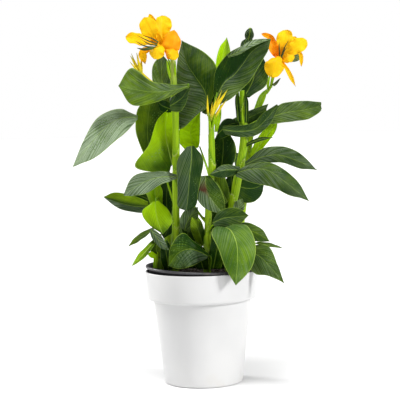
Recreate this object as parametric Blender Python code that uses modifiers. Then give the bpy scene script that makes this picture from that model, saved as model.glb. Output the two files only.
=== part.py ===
"""A canna lily in its grower's pot, standing in a white cover pot.

Lengths are metres. The origin is the centre of the cover pot's underside, +Z is up and
-Y is the front. The plant has no joints: every leaf, petal and stem keeps its own node.
"""
import math

import bmesh
import bpy
from mathutils import Matrix, Vector

# ---- cover pot: a tapered body with a wider collar round the top ----
POT_HEIGHT = 0.212
POT_FOOT_RADIUS = 0.074
POT_BODY_RADIUS = 0.0914
COLLAR_FOOT_RADIUS = 0.100
COLLAR_TOP_RADIUS = 0.106
COLLAR_FOOT_HEIGHT = 0.158
POT_WALL = 0.0028
POT_FLOOR = 0.004
FOOT_ROUNDING = 0.005
COLLAR_ROUNDING = 0.006

# ---- grower's pot: it leans, with its left side high, inside the cover pot ----
LEAN = math.radians(2.5)
GROWER_RIM_PLACE = (-0.0015, 0.0, 0.2185)
GROWER_RIM_RADIUS = 0.1035
GROWER_RIM_DEPTH = 0.005
GROWER_COLLAR_RADIUS = 0.097
GROWER_SHOULDER_RADIUS = 0.093
GROWER_SHOULDER_DEPTH = 0.0535
GROWER_BODY_RADIUS = 0.085
GROWER_FOOT_RADIUS = 0.061
GROWER_DEPTH = 0.2112
GROWER_WALL = 0.0016

# ---- potting soil ----
SOIL_BELOW_RIM = 0.0125
FIT_GAP = 0.0004

# ---- plant ----
BLADE_THICKNESS = 0.0012
PETAL_THICKNESS = 0.0013
STEM_ABOVE_SOIL = 0.0004
ROUND_STEPS = 40

GREEN_DEEP = (0.030, 0.090, 0.012)
GREEN_GREY = (0.075, 0.145, 0.045)
GREEN_BRIGHT = (0.230, 0.420, 0.020)
GREEN_STEM = (0.250, 0.400, 0.060)
YELLOW = (0.950, 0.560, 0.020)
ORANGE = (0.950, 0.360, 0.010)

# A stem is its route up from the soil with the radius at each point: (x, y, z, radius).
# The first height is only a start: the soil sets where the stem begins.
STEMS = {
    "stem_left": [
        (-0.050, -0.008, 0.210, 0.0085), (-0.046, -0.010, 0.300, 0.0072), (-0.043, -0.011, 0.400, 0.0070),
        (-0.042, -0.012, 0.500, 0.0066), (-0.0435, -0.013, 0.560, 0.0062), (-0.0450, -0.013, 0.604, 0.0045),
        (-0.0540, -0.012, 0.630, 0.0024),
    ],
    "stem_centre": [
        (0.010, -0.022, 0.210, 0.0075), (0.0135, -0.024, 0.300, 0.0062), (0.0185, -0.025, 0.360, 0.0062),
        (0.0235, -0.026, 0.405, 0.0068), (0.024, -0.026, 0.450, 0.0060), (0.023, -0.027, 0.494, 0.0045),
    ],
    "stem_right": [
        (0.052, 0.004, 0.210, 0.0085), (0.060, 0.005, 0.320, 0.0080), (0.068, 0.006, 0.361, 0.0080),
        (0.0765, 0.006, 0.405, 0.0078), (0.086, 0.006, 0.462, 0.0076), (0.0835, 0.006, 0.500, 0.0066),
        (0.0835, 0.007, 0.546, 0.0055),
    ],
    "stem_far_right": [
        (0.066, 0.044, 0.210, 0.0075), (0.082, 0.046, 0.330, 0.0070), (0.094, 0.048, 0.428, 0.0068),
        (0.1015, 0.050, 0.470, 0.0056), (0.108, 0.050, 0.502, 0.0040), (0.1215, 0.048, 0.534, 0.0042),
        (0.132, 0.044, 0.542, 0.0030), (0.1385, 0.041, 0.552, 0.0028), (0.1425, 0.038, 0.567, 0.0034),
        (0.147, 0.035, 0.585, 0.0044),
    ],
    "stem_back_left": [
        (-0.058, 0.032, 0.210, 0.0080), (-0.064, 0.034, 0.300, 0.0076), (-0.068, 0.036, 0.345, 0.0072),
        (-0.073, 0.036, 0.378, 0.0040),
    ],
    "shoot_left": [
        (-0.078, -0.012, 0.210, 0.0085), (-0.077, -0.013, 0.240, 0.0080), (-0.076, -0.014, 0.265, 0.0040),
    ],
    "stalk_far_left": [
        (-0.0785, 0.036, 0.388, 0.0022), (-0.092, 0.040, 0.412, 0.0020), (-0.106, 0.044, 0.436, 0.0018),
        (-0.1165, 0.032, 0.470, 0.0016), (-0.1165, 0.018, 0.498, 0.0014),
    ],
    "buds_left": [
        (-0.057, -0.018, 0.545, 0.0030), (-0.082, -0.024, 0.562, 0.0034), (-0.104, -0.026, 0.584, 0.0060),
        (-0.114, -0.026, 0.602, 0.0060), (-0.121, -0.026, 0.619, 0.0012),
    ],
    "buds_centre": [
        (0.026, -0.036, 0.500, 0.0030), (0.036, -0.040, 0.520, 0.0062), (0.045, -0.042, 0.534, 0.0052),
        (0.0555, -0.043, 0.548, 0.0010),
    ],
    "bud_centre_upright": [
        (0.0185, -0.038, 0.500, 0.0024), (0.018, -0.040, 0.516, 0.0034), (0.0185, -0.040, 0.539, 0.0008),
    ],
    "bud_right": [
        (0.1435, 0.036, 0.5545, 0.0016), (0.1500, 0.034, 0.5600, 0.0030), (0.1575, 0.033, 0.5680, 0.0034),
    ],
}

# A blade is its midrib from base to tip, the way its upper face looks (one or more
# directions from base to tip), its half widths left and right of the midrib as seen with
# the tip up, and how far each half folds up, in degrees.
LEAVES = {
    "leaf_bowl": dict(
        route=[(-0.013, -0.03, 0.56), (-0.049, -0.046, 0.5525), (-0.087, -0.064, 0.552),
               (-0.12, -0.082, 0.556), (-0.141, -0.094, 0.56)],
        looks=[(-0.1, -0.9, 0.45), (-0.2, -0.95, 0.2)], halves=(0.031, 0.031), folds=(12, 18),
        widest=0.72, blunt=0.5, base=0.05, colour=GREEN_DEEP),
    "leaf_top_centre": dict(
        route=[(0.019, -0.01, 0.512), (0.006, 0.006, 0.563), (-0.01, 0.03, 0.604), (-0.028, 0.058, 0.646)],
        looks=[(-0.3, -0.95, 0.0)], halves=(0.045, 0.037), folds=(4, 14), widest=0.36, blunt=0.9, base=0.15,
        colour=GREEN_DEEP),
    "leaf_top_right": dict(
        route=[(0.034, -0.026, 0.54), (0.057, -0.024, 0.571), (0.0865, -0.03, 0.602),
               (0.1365, -0.045, 0.635)],
        looks=[(0.05, -0.9, 0.4), (0.0, -0.95, 0.3)], halves=(0.028, 0.038), folds=(40, 10), widest=0.42,
        blunt=0.75, base=0.35, colour=GREEN_GREY),
    "leaf_top_slim": dict(
        route=[(0.033, 0.02, 0.556), (0.041, 0.038, 0.591), (0.049, 0.052, 0.62), (0.0585, 0.064, 0.648)],
        looks=[(0.1, -1.0, 0.0)], halves=(0.009, 0.010), folds=(10, 10), widest=0.5, blunt=1.0, base=0.3,
        colour=GREEN_BRIGHT),
    "leaf_curled_tip": dict(
        route=[(0.088, 0.024, 0.54), (0.099, 0.038, 0.575), (0.1045, 0.056, 0.617), (0.103, 0.072, 0.662)],
        looks=[(0.2, -1.0, 0.0)], halves=(0.018, 0.028), folds=(10, 10), widest=0.3, blunt=1.0, base=0.3,
        colour=GREEN_DEEP),
    "leaf_behind_flower_stem": dict(
        route=[(-0.056, 0.034, 0.505), (-0.063, 0.05, 0.551), (-0.066, 0.07, 0.592),
               (-0.068, 0.086, 0.623)],
        looks=[(0.1, -1.0, 0.1)], halves=(0.018, 0.019), folds=(8, 8), widest=0.6, blunt=0.6, base=0.5,
        colour=GREEN_GREY),
    "leaf_ribbed_left": dict(
        route=[(-0.090, 0.026, 0.424), (-0.092, 0.024, 0.465), (-0.091, 0.020, 0.505), (-0.088, 0.014, 0.540)],
        looks=[(0.1, -1.0, 0.0)], halves=(0.023, 0.025), folds=(4, 4), widest=0.6, blunt=0.6, base=0.3,
        colour=GREEN_DEEP),
    "leaf_bright_left": dict(
        route=[(-0.064, 0.005, 0.395), (-0.076, 0.003, 0.425), (-0.073, 0.004, 0.470), (-0.062, 0.007, 0.517)],
        looks=[(0.05, -1.0, 0.1)], halves=(0.039, 0.022), folds=(-6, -4), widest=0.24, blunt=0.62, base=0.5,
        colour=GREEN_BRIGHT),
    "leaf_far_left": dict(
        route=[(-0.12, 0.012, 0.502), (-0.145, -0.01, 0.508), (-0.176, -0.036, 0.494),
               (-0.205, -0.064, 0.457), (-0.2275, -0.088, 0.415)],
        looks=[(-0.2, -0.8, 0.55), (-0.3, -0.9, 0.3)], halves=(0.040, 0.012), folds=(8, -10), widest=0.42,
        blunt=0.85, base=0.12, colour=GREEN_GREY),
    "leaf_glowing": dict(
        route=[(0.002, 0.034, 0.44), (-0.01, 0.05, 0.467), (-0.0145, 0.064, 0.496), (-0.0145, 0.076, 0.53)],
        looks=[(0.0, -1.0, 0.0)], halves=(0.026, 0.014), folds=(6, 6), widest=0.45, blunt=0.6, base=0.3,
        colour=GREEN_BRIGHT),
    "leaf_hanging_centre": dict(
        route=[(-0.033, -0.026, 0.430), (-0.013, -0.034, 0.441), (-0.012, -0.042, 0.410),
               (-0.018, -0.046, 0.365), (-0.032, -0.044, 0.322)],
        looks=[(0.0, -0.9, 0.4), (0.0, -1.0, 0.1)], halves=(0.021, 0.019), folds=(8, 8), widest=0.52,
        blunt=0.7, base=0.08, colour=GREEN_DEEP),
    "leaf_left_upper": dict(
        route=[(-0.044, -0.024, 0.388), (-0.078, -0.048, 0.39), (-0.108, -0.074, 0.381),
               (-0.136, -0.098, 0.3645)],
        looks=[(0.0, -0.85, 0.5)], halves=(0.019, 0.018), folds=(6, 6), widest=0.62, blunt=0.65, base=0.3,
        colour=GREEN_GREY),
    "leaf_left_folded": dict(
        route=[(-0.1, 0.01, 0.33), (-0.131, 0.024, 0.335), (-0.16, 0.038, 0.341), (-0.1825, 0.05, 0.349)],
        looks=[(0.0, -0.95, 0.3)], halves=(0.014, 0.020), folds=(20, 25), widest=0.5, blunt=0.6, base=0.7,
        colour=GREEN_DEEP),
    "leaf_left_light": dict(
        route=[(-0.082, -0.018, 0.342), (-0.081, -0.026, 0.322),
               (-0.078, -0.032, 0.302), (-0.073, -0.036, 0.281)],
        looks=[(0.0, -0.95, 0.3)], halves=(0.022, 0.026), folds=(-10, -10), widest=0.45, blunt=0.9, base=0.25,
        colour=GREEN_BRIGHT),
    "leaf_left_slim_upper": dict(
        route=[(-0.088, -0.002, 0.291), (-0.113, 0.014, 0.275), (-0.137, 0.03, 0.256)],
        looks=[(0.0, -0.9, 0.4)], halves=(0.006, 0.006), folds=(15, 15), widest=0.5, blunt=0.9, base=0.5,
        colour=GREEN_GREY),
    "leaf_left_slim_lower": dict(
        route=[(-0.082, -0.026, 0.274), (-0.1055, -0.048, 0.25), (-0.1275, -0.068, 0.229)],
        looks=[(0.0, -0.9, 0.4)], halves=(0.007, 0.007), folds=(15, 15), widest=0.5, blunt=0.9, base=0.5,
        colour=GREEN_BRIGHT),
    "leaf_over_soil": dict(
        route=[(0.012, -0.062, 0.246), (-0.012, -0.072, 0.254),
               (-0.038, -0.080, 0.249), (-0.058, -0.084, 0.229)],
        looks=[(0.0, -0.9, 0.45)], halves=(0.022, 0.028), folds=(-12, -10), widest=0.55, blunt=0.6, base=0.2,
        colour=GREEN_DEEP),
    "leaf_over_rim": dict(
        route=[(0.046, -0.056, 0.292), (0.058, -0.086, 0.284), (0.064, -0.106, 0.262),
               (0.065, -0.114, 0.232), (0.061, -0.114, 0.194)],
        looks=[(0.0, -0.5, 0.85), (0.0, -1.0, 0.2), (0.0, -1.0, 0.1)], halves=(0.031, 0.031), folds=(-6, -6),
        widest=0.5, blunt=0.85, base=0.55, colour=GREEN_BRIGHT),
    "leaf_right_low": dict(
        route=[(0.09, -0.05, 0.246), (0.1075, -0.06, 0.235), (0.1265, -0.072, 0.2145),
               (0.147, -0.084, 0.194)],
        looks=[(0.1, -0.9, 0.4)], halves=(0.021, 0.020), folds=(5, 5), widest=0.35, blunt=1.2, base=0.6,
        colour=GREEN_DEEP),
    "leaf_right_low_back": dict(
        route=[(0.056, -0.036, 0.290), (0.082, -0.042, 0.285), (0.106, -0.046, 0.278), (0.126, -0.050, 0.267)],
        looks=[(0.0, -0.7, 0.7)], halves=(0.012, 0.017), folds=(10, 10), widest=0.5, blunt=0.9, base=0.4,
        colour=GREEN_DEEP),
    "leaf_right_low_slim": dict(
        route=[(0.104, -0.024, 0.262), (0.126, -0.032, 0.259), (0.150, -0.040, 0.254)],
        looks=[(0.0, -0.8, 0.6)], halves=(0.005, 0.005), folds=(10, 10), widest=0.45, blunt=1.0, base=0.5,
        colour=GREEN_GREY),
    "leaf_centre_low": dict(
        route=[(0.028, -0.050, 0.302), (0.045, -0.056, 0.311), (0.066, -0.060, 0.315), (0.086, -0.062, 0.316)],
        looks=[(0.0, -0.95, 0.3)], halves=(0.011, 0.015), folds=(10, 10), widest=0.55, blunt=0.6, base=0.4,
        colour=GREEN_DEEP),
    "leaf_streaked": dict(
        route=[(0.014, -0.038, 0.388), (0.012, -0.042, 0.362), (0.026, -0.046, 0.338), (0.043, -0.048, 0.318)],
        looks=[(0.1, -0.95, 0.3)], halves=(0.017, 0.017), folds=(6, 6), widest=0.35, blunt=0.7, base=0.5,
        colour=GREEN_DEEP),
    "leaf_centre_left_tip": dict(
        route=[(0.064, -0.012, 0.397), (0.042, -0.036, 0.395), (0.018, -0.046, 0.388)],
        looks=[(0.0, -0.9, 0.4)], halves=(0.011, 0.010), folds=(8, 8), widest=0.6, blunt=0.6, base=0.4,
        colour=GREEN_DEEP),
    "leaf_right_middle": dict(
        route=[(0.07, -0.014, 0.392), (0.096, -0.038, 0.3965), (0.126, -0.064, 0.393),
               (0.158, -0.092, 0.372), (0.193, -0.118, 0.347)],
        looks=[(0.0, -0.9, 0.45)], halves=(0.015, 0.023), folds=(8, 8), widest=0.5, blunt=0.9, base=0.1,
        colour=GREEN_GREY),
    "leaf_right_arching": dict(
        route=[(0.09, -0.006, 0.406), (0.113, -0.02, 0.42), (0.143, -0.038, 0.424),
               (0.178, -0.058, 0.417), (0.2115, -0.076, 0.4)],
        looks=[(0.0, -0.6, 0.8)], halves=(0.017, 0.017), folds=(8, 8), widest=0.4, blunt=0.9, base=0.15,
        colour=GREEN_GREY),
    "leaf_right_upper": dict(
        route=[(0.128, 0.01, 0.494), (0.159, 0.024, 0.503), (0.196, 0.04, 0.508), (0.232, 0.056, 0.508)],
        looks=[(0.0, -0.9, 0.45)], halves=(0.019, 0.021), folds=(6, 6), widest=0.3, blunt=0.45, base=0.8,
        colour=GREEN_GREY),
    "leaf_right_trough": dict(
        route=[(0.060, -0.010, 0.470), (0.084, -0.012, 0.473), (0.108, -0.006, 0.479), (0.122, 0.000, 0.490)],
        looks=[(0.0, -0.95, 0.3)], halves=(0.009, 0.012), folds=(5, 5), widest=0.55, blunt=0.6, base=0.4,
        colour=GREEN_DEEP),
    "leaf_right_far_side": dict(
        route=[(0.042, 0.024, 0.476), (0.070, 0.026, 0.484), (0.100, 0.025, 0.494), (0.126, 0.022, 0.508)],
        looks=[(0.0, -0.95, 0.2)], halves=(0.012, 0.013), folds=(5, 5), widest=0.6, blunt=0.5, base=0.5,
        colour=GREEN_DEEP),
    "leaf_dark_upright": dict(
        route=[(0.046, 0.03, 0.398), (0.048, 0.048, 0.429), (0.045, 0.064, 0.466)],
        looks=[(0.0, -1.0, 0.0)], halves=(0.016, 0.018), folds=(5, 5), widest=0.4, blunt=0.7, base=0.5,
        colour=GREEN_DEEP),
    "leaf_dark_right": dict(
        route=[(0.072, 0.022, 0.368), (0.089, 0.028, 0.364), (0.108, 0.038, 0.365), (0.122, 0.048, 0.373)],
        looks=[(0.0, -0.95, 0.2)], halves=(0.014, 0.026), folds=(5, 5), widest=0.45, blunt=0.6, base=0.6,
        colour=GREEN_DEEP),
    "leaf_young_centre": dict(
        route=[(0.003, -0.002, 0.276), (-0.004, 0.000, 0.297), (-0.012, 0.002, 0.317)],
        looks=[(0.0, -1.0, 0.1)], halves=(0.009, 0.008), folds=(10, 10), widest=0.5, blunt=0.9, base=0.5,
        colour=GREEN_BRIGHT),
    "leaf_back_middle": dict(
        route=[(-0.016, 0.024, 0.345), (-0.016, 0.062, 0.393), (-0.016, 0.106, 0.408), (-0.016, 0.152, 0.384)],
        looks=[(0.0, -0.6, 0.8), (0.0, 0.2, 1.0)], halves=(0.020, 0.020), folds=(12, 12), widest=0.45,
        blunt=0.8, base=0.2, colour=GREEN_DEEP),
    "leaf_back_low": dict(
        route=[(0.028, 0.040, 0.246), (0.030, 0.084, 0.284), (0.030, 0.124, 0.276), (0.028, 0.156, 0.238)],
        looks=[(0.0, -0.6, 0.8), (0.0, 0.3, 1.0), (0.0, 0.9, 0.5)], halves=(0.021, 0.021), folds=(10, 10),
        widest=0.45, blunt=0.8, base=0.2, colour=GREEN_GREY),
    "sheath_right": dict(
        route=[(0.100, 0.036, 0.418), (0.120, 0.036, 0.448), (0.138, 0.038, 0.470), (0.149, 0.040, 0.486)],
        looks=[(0.0, -1.0, 0.1)], halves=(0.012, 0.010), folds=(15, 15), widest=0.45, blunt=0.6, base=0.6,
        colour=GREEN_STEM),
}

PETALS = {
    "petal_left_top": dict(
        route=[(-0.073, -0.014, 0.644), (-0.086, -0.018, 0.662), (-0.099, -0.016, 0.684)],
        looks=[(-0.2, -0.95, 0.2)], halves=(0.017, 0.018), folds=(8, 8), colour=YELLOW),
    "petal_left_slim": dict(
        route=[(-0.073, 0.002, 0.650), (-0.081, 0.005, 0.672), (-0.087, 0.005, 0.693)],
        looks=[(0.0, -1.0, 0.1)], halves=(0.007, 0.007), folds=(8, 8), colour=YELLOW),
    "petal_left_back": dict(
        route=[(-0.066, -0.006, 0.646), (-0.064, -0.004, 0.668), (-0.060, 0.000, 0.688)],
        looks=[(0.1, -0.95, 0.1)], halves=(0.016, 0.016), folds=(8, 8), colour=YELLOW),
    "petal_left_side": dict(
        route=[(-0.082, -0.024, 0.640), (-0.108, -0.031, 0.644), (-0.132, -0.034, 0.650)],
        looks=[(0.0, -0.9, 0.4)], halves=(0.011, 0.011), folds=(10, 10), colour=YELLOW),
    "petal_left_orange": dict(
        route=[(-0.061, -0.022, 0.634), (-0.046, -0.029, 0.645), (-0.029, -0.030, 0.652)],
        looks=[(0.2, -0.95, 0.1)], halves=(0.019, 0.018), folds=(-8, -8), colour=ORANGE),
    "petal_left_front": dict(
        route=[(-0.064, -0.030, 0.632), (-0.075, -0.040, 0.626), (-0.087, -0.043, 0.612)],
        looks=[(-0.1, -0.9, 0.3)], halves=(0.014, 0.016), folds=(-10, -10), colour=YELLOW),
    "petal_right_top": dict(
        route=[(0.153, 0.034, 0.612), (0.163, 0.034, 0.634), (0.172, 0.036, 0.657)],
        looks=[(0.1, -0.95, 0.1)], halves=(0.016, 0.016), folds=(8, 8), colour=YELLOW),
    "petal_right_side": dict(
        route=[(0.160, 0.022, 0.614), (0.181, 0.018, 0.627), (0.204, 0.018, 0.636)],
        looks=[(0.1, -0.95, 0.2)], halves=(0.014, 0.013), folds=(8, 8), colour=YELLOW),
    "petal_right_slim": dict(
        route=[(0.147, 0.040, 0.618), (0.136, 0.038, 0.640), (0.121, 0.036, 0.652)],
        looks=[(0.0, -1.0, 0.1)], halves=(0.006, 0.006), folds=(8, 8), colour=ORANGE),
    "petal_right_orange": dict(
        route=[(0.147, 0.024, 0.604), (0.141, 0.019, 0.618), (0.138, 0.018, 0.634)],
        looks=[(0.0, -1.0, 0.1)], halves=(0.011, 0.011), folds=(10, 10), colour=ORANGE),
    "petal_right_front": dict(
        route=[(0.150, 0.014, 0.602), (0.142, 0.004, 0.594), (0.138, 0.002, 0.574)],
        looks=[(0.0, -0.95, 0.3)], halves=(0.017, 0.016), folds=(-12, -12), colour=YELLOW),
}

PETAL_SHAPE = dict(widest=0.66, blunt=0.5, base=0.25)
LEAF_ROWS, LEAF_COLUMNS = 9, 4
PETAL_ROWS, PETAL_COLUMNS = 5, 4
STEM_STEPS_PER_SPAN = 2


# ---- helpers ----
def clear_scene():
    for item in list(bpy.data.objects):
        bpy.data.objects.remove(item, do_unlink=True)


def new_collection(name):
    collection = bpy.data.collections.new(name)
    bpy.context.scene.collection.children.link(collection)
    return collection


def material(name, colour, roughness):
    made = bpy.data.materials.new(name)
    made.use_nodes = True
    shader = made.node_tree.nodes["Principled BSDF"]
    shader.inputs["Base Color"].default_value = (*colour, 1.0)
    shader.inputs["Roughness"].default_value = roughness
    shader.inputs["Metallic"].default_value = 0.0
    return made


def add_object(name, data, collection, colour, roughness, parent=None):
    made = bpy.data.objects.new(name, data)
    data.materials.append(material(name, colour, roughness))
    collection.objects.link(made)
    made.parent = parent
    return made


def turned(name, profile, collection, colour, roughness, parent=None):
    """A solid turned about +Z from a profile of (radius, height) points, top first."""
    mesh = bpy.data.meshes.new(name)
    points = [(radius, 0.0, height) for radius, height in profile]
    mesh.from_pydata(points, [(i, i + 1) for i in range(len(points) - 1)], [])
    made = add_object(name, mesh, collection, colour, roughness, parent)
    screw = made.modifiers.new("Turn", "SCREW")
    screw.steps = ROUND_STEPS
    screw.render_steps = ROUND_STEPS
    screw.use_merge_vertices = True
    screw.merge_threshold = 0.00001
    return made


def arc(centre, radius, start, end, steps):
    """Points of a round edge in the profile, angles in degrees from +radius."""
    angles = [math.radians(start + (end - start) * i / steps) for i in range(steps + 1)]
    return [(centre[0] + radius * math.cos(a), centre[1] + radius * math.sin(a)) for a in angles]


def along(points, share):
    """Place at a share of the smooth curve that passes through the points."""
    points = [Vector(p) for p in points]
    if len(points) == 1:
        return points[0]
    if len(points) == 2:
        return points[0].lerp(points[1], share)
    spans = len(points) - 1
    index = min(int(share * spans), spans - 1)
    u = share * spans - index
    here, there = points[index], points[index + 1]
    before = points[index - 1] if index else here * 2 - there
    after = points[index + 2] if index + 2 <= spans else there * 2 - here
    return (here * 2 + (there - before) * u + (before * 2 - here * 5 + there * 4 - after) * u * u
            + (here * 3 - before - there * 3 + after) * u ** 3) * 0.5


# ---- pots and soil ----
def cover_pot_profile():
    rim = POT_WALL / 2
    inner_top = COLLAR_TOP_RADIUS - POT_WALL
    inner_step = COLLAR_FOOT_RADIUS - POT_WALL
    inner_body = POT_BODY_RADIUS - POT_WALL
    outside = arc((COLLAR_TOP_RADIUS - rim, POT_HEIGHT - rim), rim, 90, 0, 3)
    outside += arc((COLLAR_FOOT_RADIUS - COLLAR_ROUNDING * 0.6, COLLAR_FOOT_HEIGHT + COLLAR_ROUNDING),
                   COLLAR_ROUNDING, 0, -80, 4)
    outside += [(POT_BODY_RADIUS, COLLAR_FOOT_HEIGHT)]
    outside += arc((POT_FOOT_RADIUS - FOOT_ROUNDING, FOOT_ROUNDING), FOOT_ROUNDING, -8, -90, 4)
    inside = [
        (0.0, 0.0), (0.0, POT_FLOOR), (POT_FOOT_RADIUS - POT_WALL, POT_FLOOR),
        (inner_body, COLLAR_FOOT_HEIGHT - POT_WALL), (inner_step, COLLAR_FOOT_HEIGHT + POT_WALL),
        (inner_top, POT_HEIGHT - rim),
    ]
    return outside + inside + [(COLLAR_TOP_RADIUS - rim, POT_HEIGHT)]


def cover_pot(collection):
    return turned("cover_pot", cover_pot_profile(), collection, (0.80, 0.80, 0.79), 0.35)


def grower_lean():
    """Empty at the middle of the grower's rim; what it carries is measured down from there."""
    lean = bpy.data.objects.new("grower_lean", None)
    lean.location = GROWER_RIM_PLACE
    lean.rotation_euler = (0.0, LEAN, 0.0)
    return lean


def grower_pot(collection, lean):
    wall = GROWER_WALL
    lip = GROWER_RIM_DEPTH / 2
    outside = arc((GROWER_RIM_RADIUS - lip, -lip), lip, 90, -90, 6)
    outside += [
        (GROWER_COLLAR_RADIUS, -GROWER_RIM_DEPTH), (GROWER_SHOULDER_RADIUS, -GROWER_SHOULDER_DEPTH),
        (GROWER_BODY_RADIUS, -GROWER_SHOULDER_DEPTH - wall), (GROWER_FOOT_RADIUS, -GROWER_DEPTH),
    ]
    inside = [
        (0.0, -GROWER_DEPTH), (0.0, -GROWER_DEPTH + wall), (GROWER_FOOT_RADIUS - wall, -GROWER_DEPTH + wall),
        (GROWER_BODY_RADIUS - wall, -GROWER_SHOULDER_DEPTH),
        (GROWER_SHOULDER_RADIUS - wall, -GROWER_SHOULDER_DEPTH + wall),
        (GROWER_COLLAR_RADIUS - wall, -GROWER_RIM_DEPTH), (GROWER_COLLAR_RADIUS, 0.0),
    ]
    profile = outside + inside + [(GROWER_RIM_RADIUS - lip, 0.0)]
    return turned("grower_pot", profile, collection, (0.022, 0.022, 0.024), 0.45, lean)


def potting_soil(collection, lean):
    skin = GROWER_WALL + FIT_GAP
    profile = [
        (0.0, -SOIL_BELOW_RIM), (GROWER_COLLAR_RADIUS - skin - FIT_GAP, -SOIL_BELOW_RIM),
        (GROWER_SHOULDER_RADIUS - skin, -GROWER_SHOULDER_DEPTH + skin),
        (GROWER_BODY_RADIUS - skin, -GROWER_SHOULDER_DEPTH + FIT_GAP),
        (GROWER_FOOT_RADIUS - skin, -GROWER_DEPTH + skin), (0.0, -GROWER_DEPTH + skin),
    ]
    return turned("potting_soil", profile, collection, (0.020, 0.014, 0.010), 0.95, lean)


def soil_height(x):
    """Height of the leaning soil surface at a place across the pot."""
    middle = Matrix.Rotation(LEAN, 3, "Y") @ Vector((0.0, 0.0, -SOIL_BELOW_RIM)) + Vector(GROWER_RIM_PLACE)
    return middle.z - (x - middle.x) * math.tan(LEAN)


# ---- plant ----
def stem(name, route, collection):
    """A smooth stalk of varying thickness; one that rises from the soil starts just above it."""
    points = [Vector(p) for p in route]
    if points[0].z == 0.210:
        points[0].z = soil_height(points[0].x - points[0].w) + STEM_ABOVE_SOIL
    steps = (len(points) - 1) * STEM_STEPS_PER_SPAN
    curve = bpy.data.curves.new(name, "CURVE")
    curve.dimensions = "3D"
    curve.bevel_depth = 1.0
    curve.bevel_resolution = 2
    curve.use_fill_caps = True
    spline = curve.splines.new("POLY")
    spline.points.add(steps)
    for number, point in enumerate(spline.points):
        place = along(points, number / steps)
        point.co = (place.x, place.y, place.z, 1.0)
        point.radius = place.w
    return add_object(name, curve, collection, GREEN_STEM, 0.4)


def width_share(share, widest, blunt, base):
    """How wide a blade is at a share of its length, as part of its greatest width."""
    if share < widest:
        return base + (1 - base) * math.sin(share / widest * math.pi / 2)
    rest = math.cos((share - widest) / (1 - widest) * math.pi / 2)
    return max(rest, 0.0) ** blunt


def blade_point(shape, share, side):
    """Place on a blade: share runs from base to tip, side from -1 at the left edge to 1."""
    rib = along(shape["route"], share)
    step = 0.01
    tangent = along(shape["route"], min(share + step, 1.0)) - along(shape["route"], max(share - step, 0.0))
    tangent.normalize()
    look = along(shape["looks"], share)
    look = (look - tangent * look.dot(tangent)).normalized()
    across = tangent.cross(look)
    half = shape["halves"][1 if side > 0 else 0]
    fold = math.radians(shape["folds"][1 if side > 0 else 0])
    reach = half * abs(side) * max(width_share(share, shape["widest"], shape["blunt"], shape["base"]), 0.08)
    return rib + across * math.copysign(reach * math.cos(fold), side) + look * reach * math.sin(fold)


def blade(name, shape, rows, columns, thickness, collection, roughness):
    """A thin closed blade: a grid laid on the blade's surface and given a thickness."""
    mesh = bpy.data.meshes.new(name)
    grid = bmesh.new()
    bmesh.ops.create_grid(grid, x_segments=columns, y_segments=rows, size=1.0)
    for vertex in grid.verts:
        vertex.co = blade_point(shape, (vertex.co.y + 1) / 2, round(vertex.co.x, 6))
    grid.to_mesh(mesh)
    grid.free()
    made = add_object(name, mesh, collection, shape["colour"], roughness)
    solid = made.modifiers.new("Thickness", "SOLIDIFY")
    solid.thickness = thickness
    solid.offset = 0.0
    return made


def main():
    clear_scene()
    collection = new_collection("potted_canna_lily")
    lean = grower_lean()
    collection.objects.link(lean)
    cover_pot(collection)
    grower_pot(collection, lean)
    potting_soil(collection, lean)
    for name, route in STEMS.items():
        stem(name, route, collection)
    for name, shape in LEAVES.items():
        blade(name, shape, LEAF_ROWS, LEAF_COLUMNS, BLADE_THICKNESS, collection, 0.35)
    for name, shape in PETALS.items():
        blade(name, {**PETAL_SHAPE, **shape}, PETAL_ROWS, PETAL_COLUMNS, PETAL_THICKNESS, collection, 0.5)


main()
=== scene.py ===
# %% [markdown]
# # A potted canna lily
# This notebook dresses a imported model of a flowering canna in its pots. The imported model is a
# fixed frame: it gives the place and size of every piece, and each cell here makes a finer
# piece that stands exactly where its plain one stands. Lengths are metres, +Z is up and the
# front of the plant faces -Y.

# %% Load the frame
import math
import random

import bmesh
import bpy
from mathutils import Matrix, Vector, noise


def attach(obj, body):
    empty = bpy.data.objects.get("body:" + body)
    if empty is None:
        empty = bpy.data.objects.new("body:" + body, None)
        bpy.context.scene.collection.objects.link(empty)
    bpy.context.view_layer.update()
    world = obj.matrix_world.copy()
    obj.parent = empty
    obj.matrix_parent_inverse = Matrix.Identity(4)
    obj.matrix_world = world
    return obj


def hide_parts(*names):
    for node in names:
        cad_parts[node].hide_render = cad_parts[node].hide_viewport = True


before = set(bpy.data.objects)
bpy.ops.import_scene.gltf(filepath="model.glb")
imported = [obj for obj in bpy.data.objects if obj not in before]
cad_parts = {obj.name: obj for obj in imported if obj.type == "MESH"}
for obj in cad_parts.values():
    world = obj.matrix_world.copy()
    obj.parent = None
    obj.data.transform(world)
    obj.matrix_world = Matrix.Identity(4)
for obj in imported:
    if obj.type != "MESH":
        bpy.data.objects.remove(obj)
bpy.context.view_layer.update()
print("nodes in the frame:", len(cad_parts))

# %% [markdown]
# ## Where we stand
# The plant is seen from two and a half metres away, from a little above its pot's rim. A long
# lens keeps the pot's sides almost parallel. The camera is also turned a little about its own
# line of sight, so that the pot leans a touch to one side.

# %% Camera
CAMERA_PLACE = Vector((0.0002, -2.5, 0.52))
CAMERA_AIM = Vector((0.0002, 0.0, 0.343))
CAMERA_LENS = 120.3
CAMERA_ROLL = math.radians(1.3)


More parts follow.
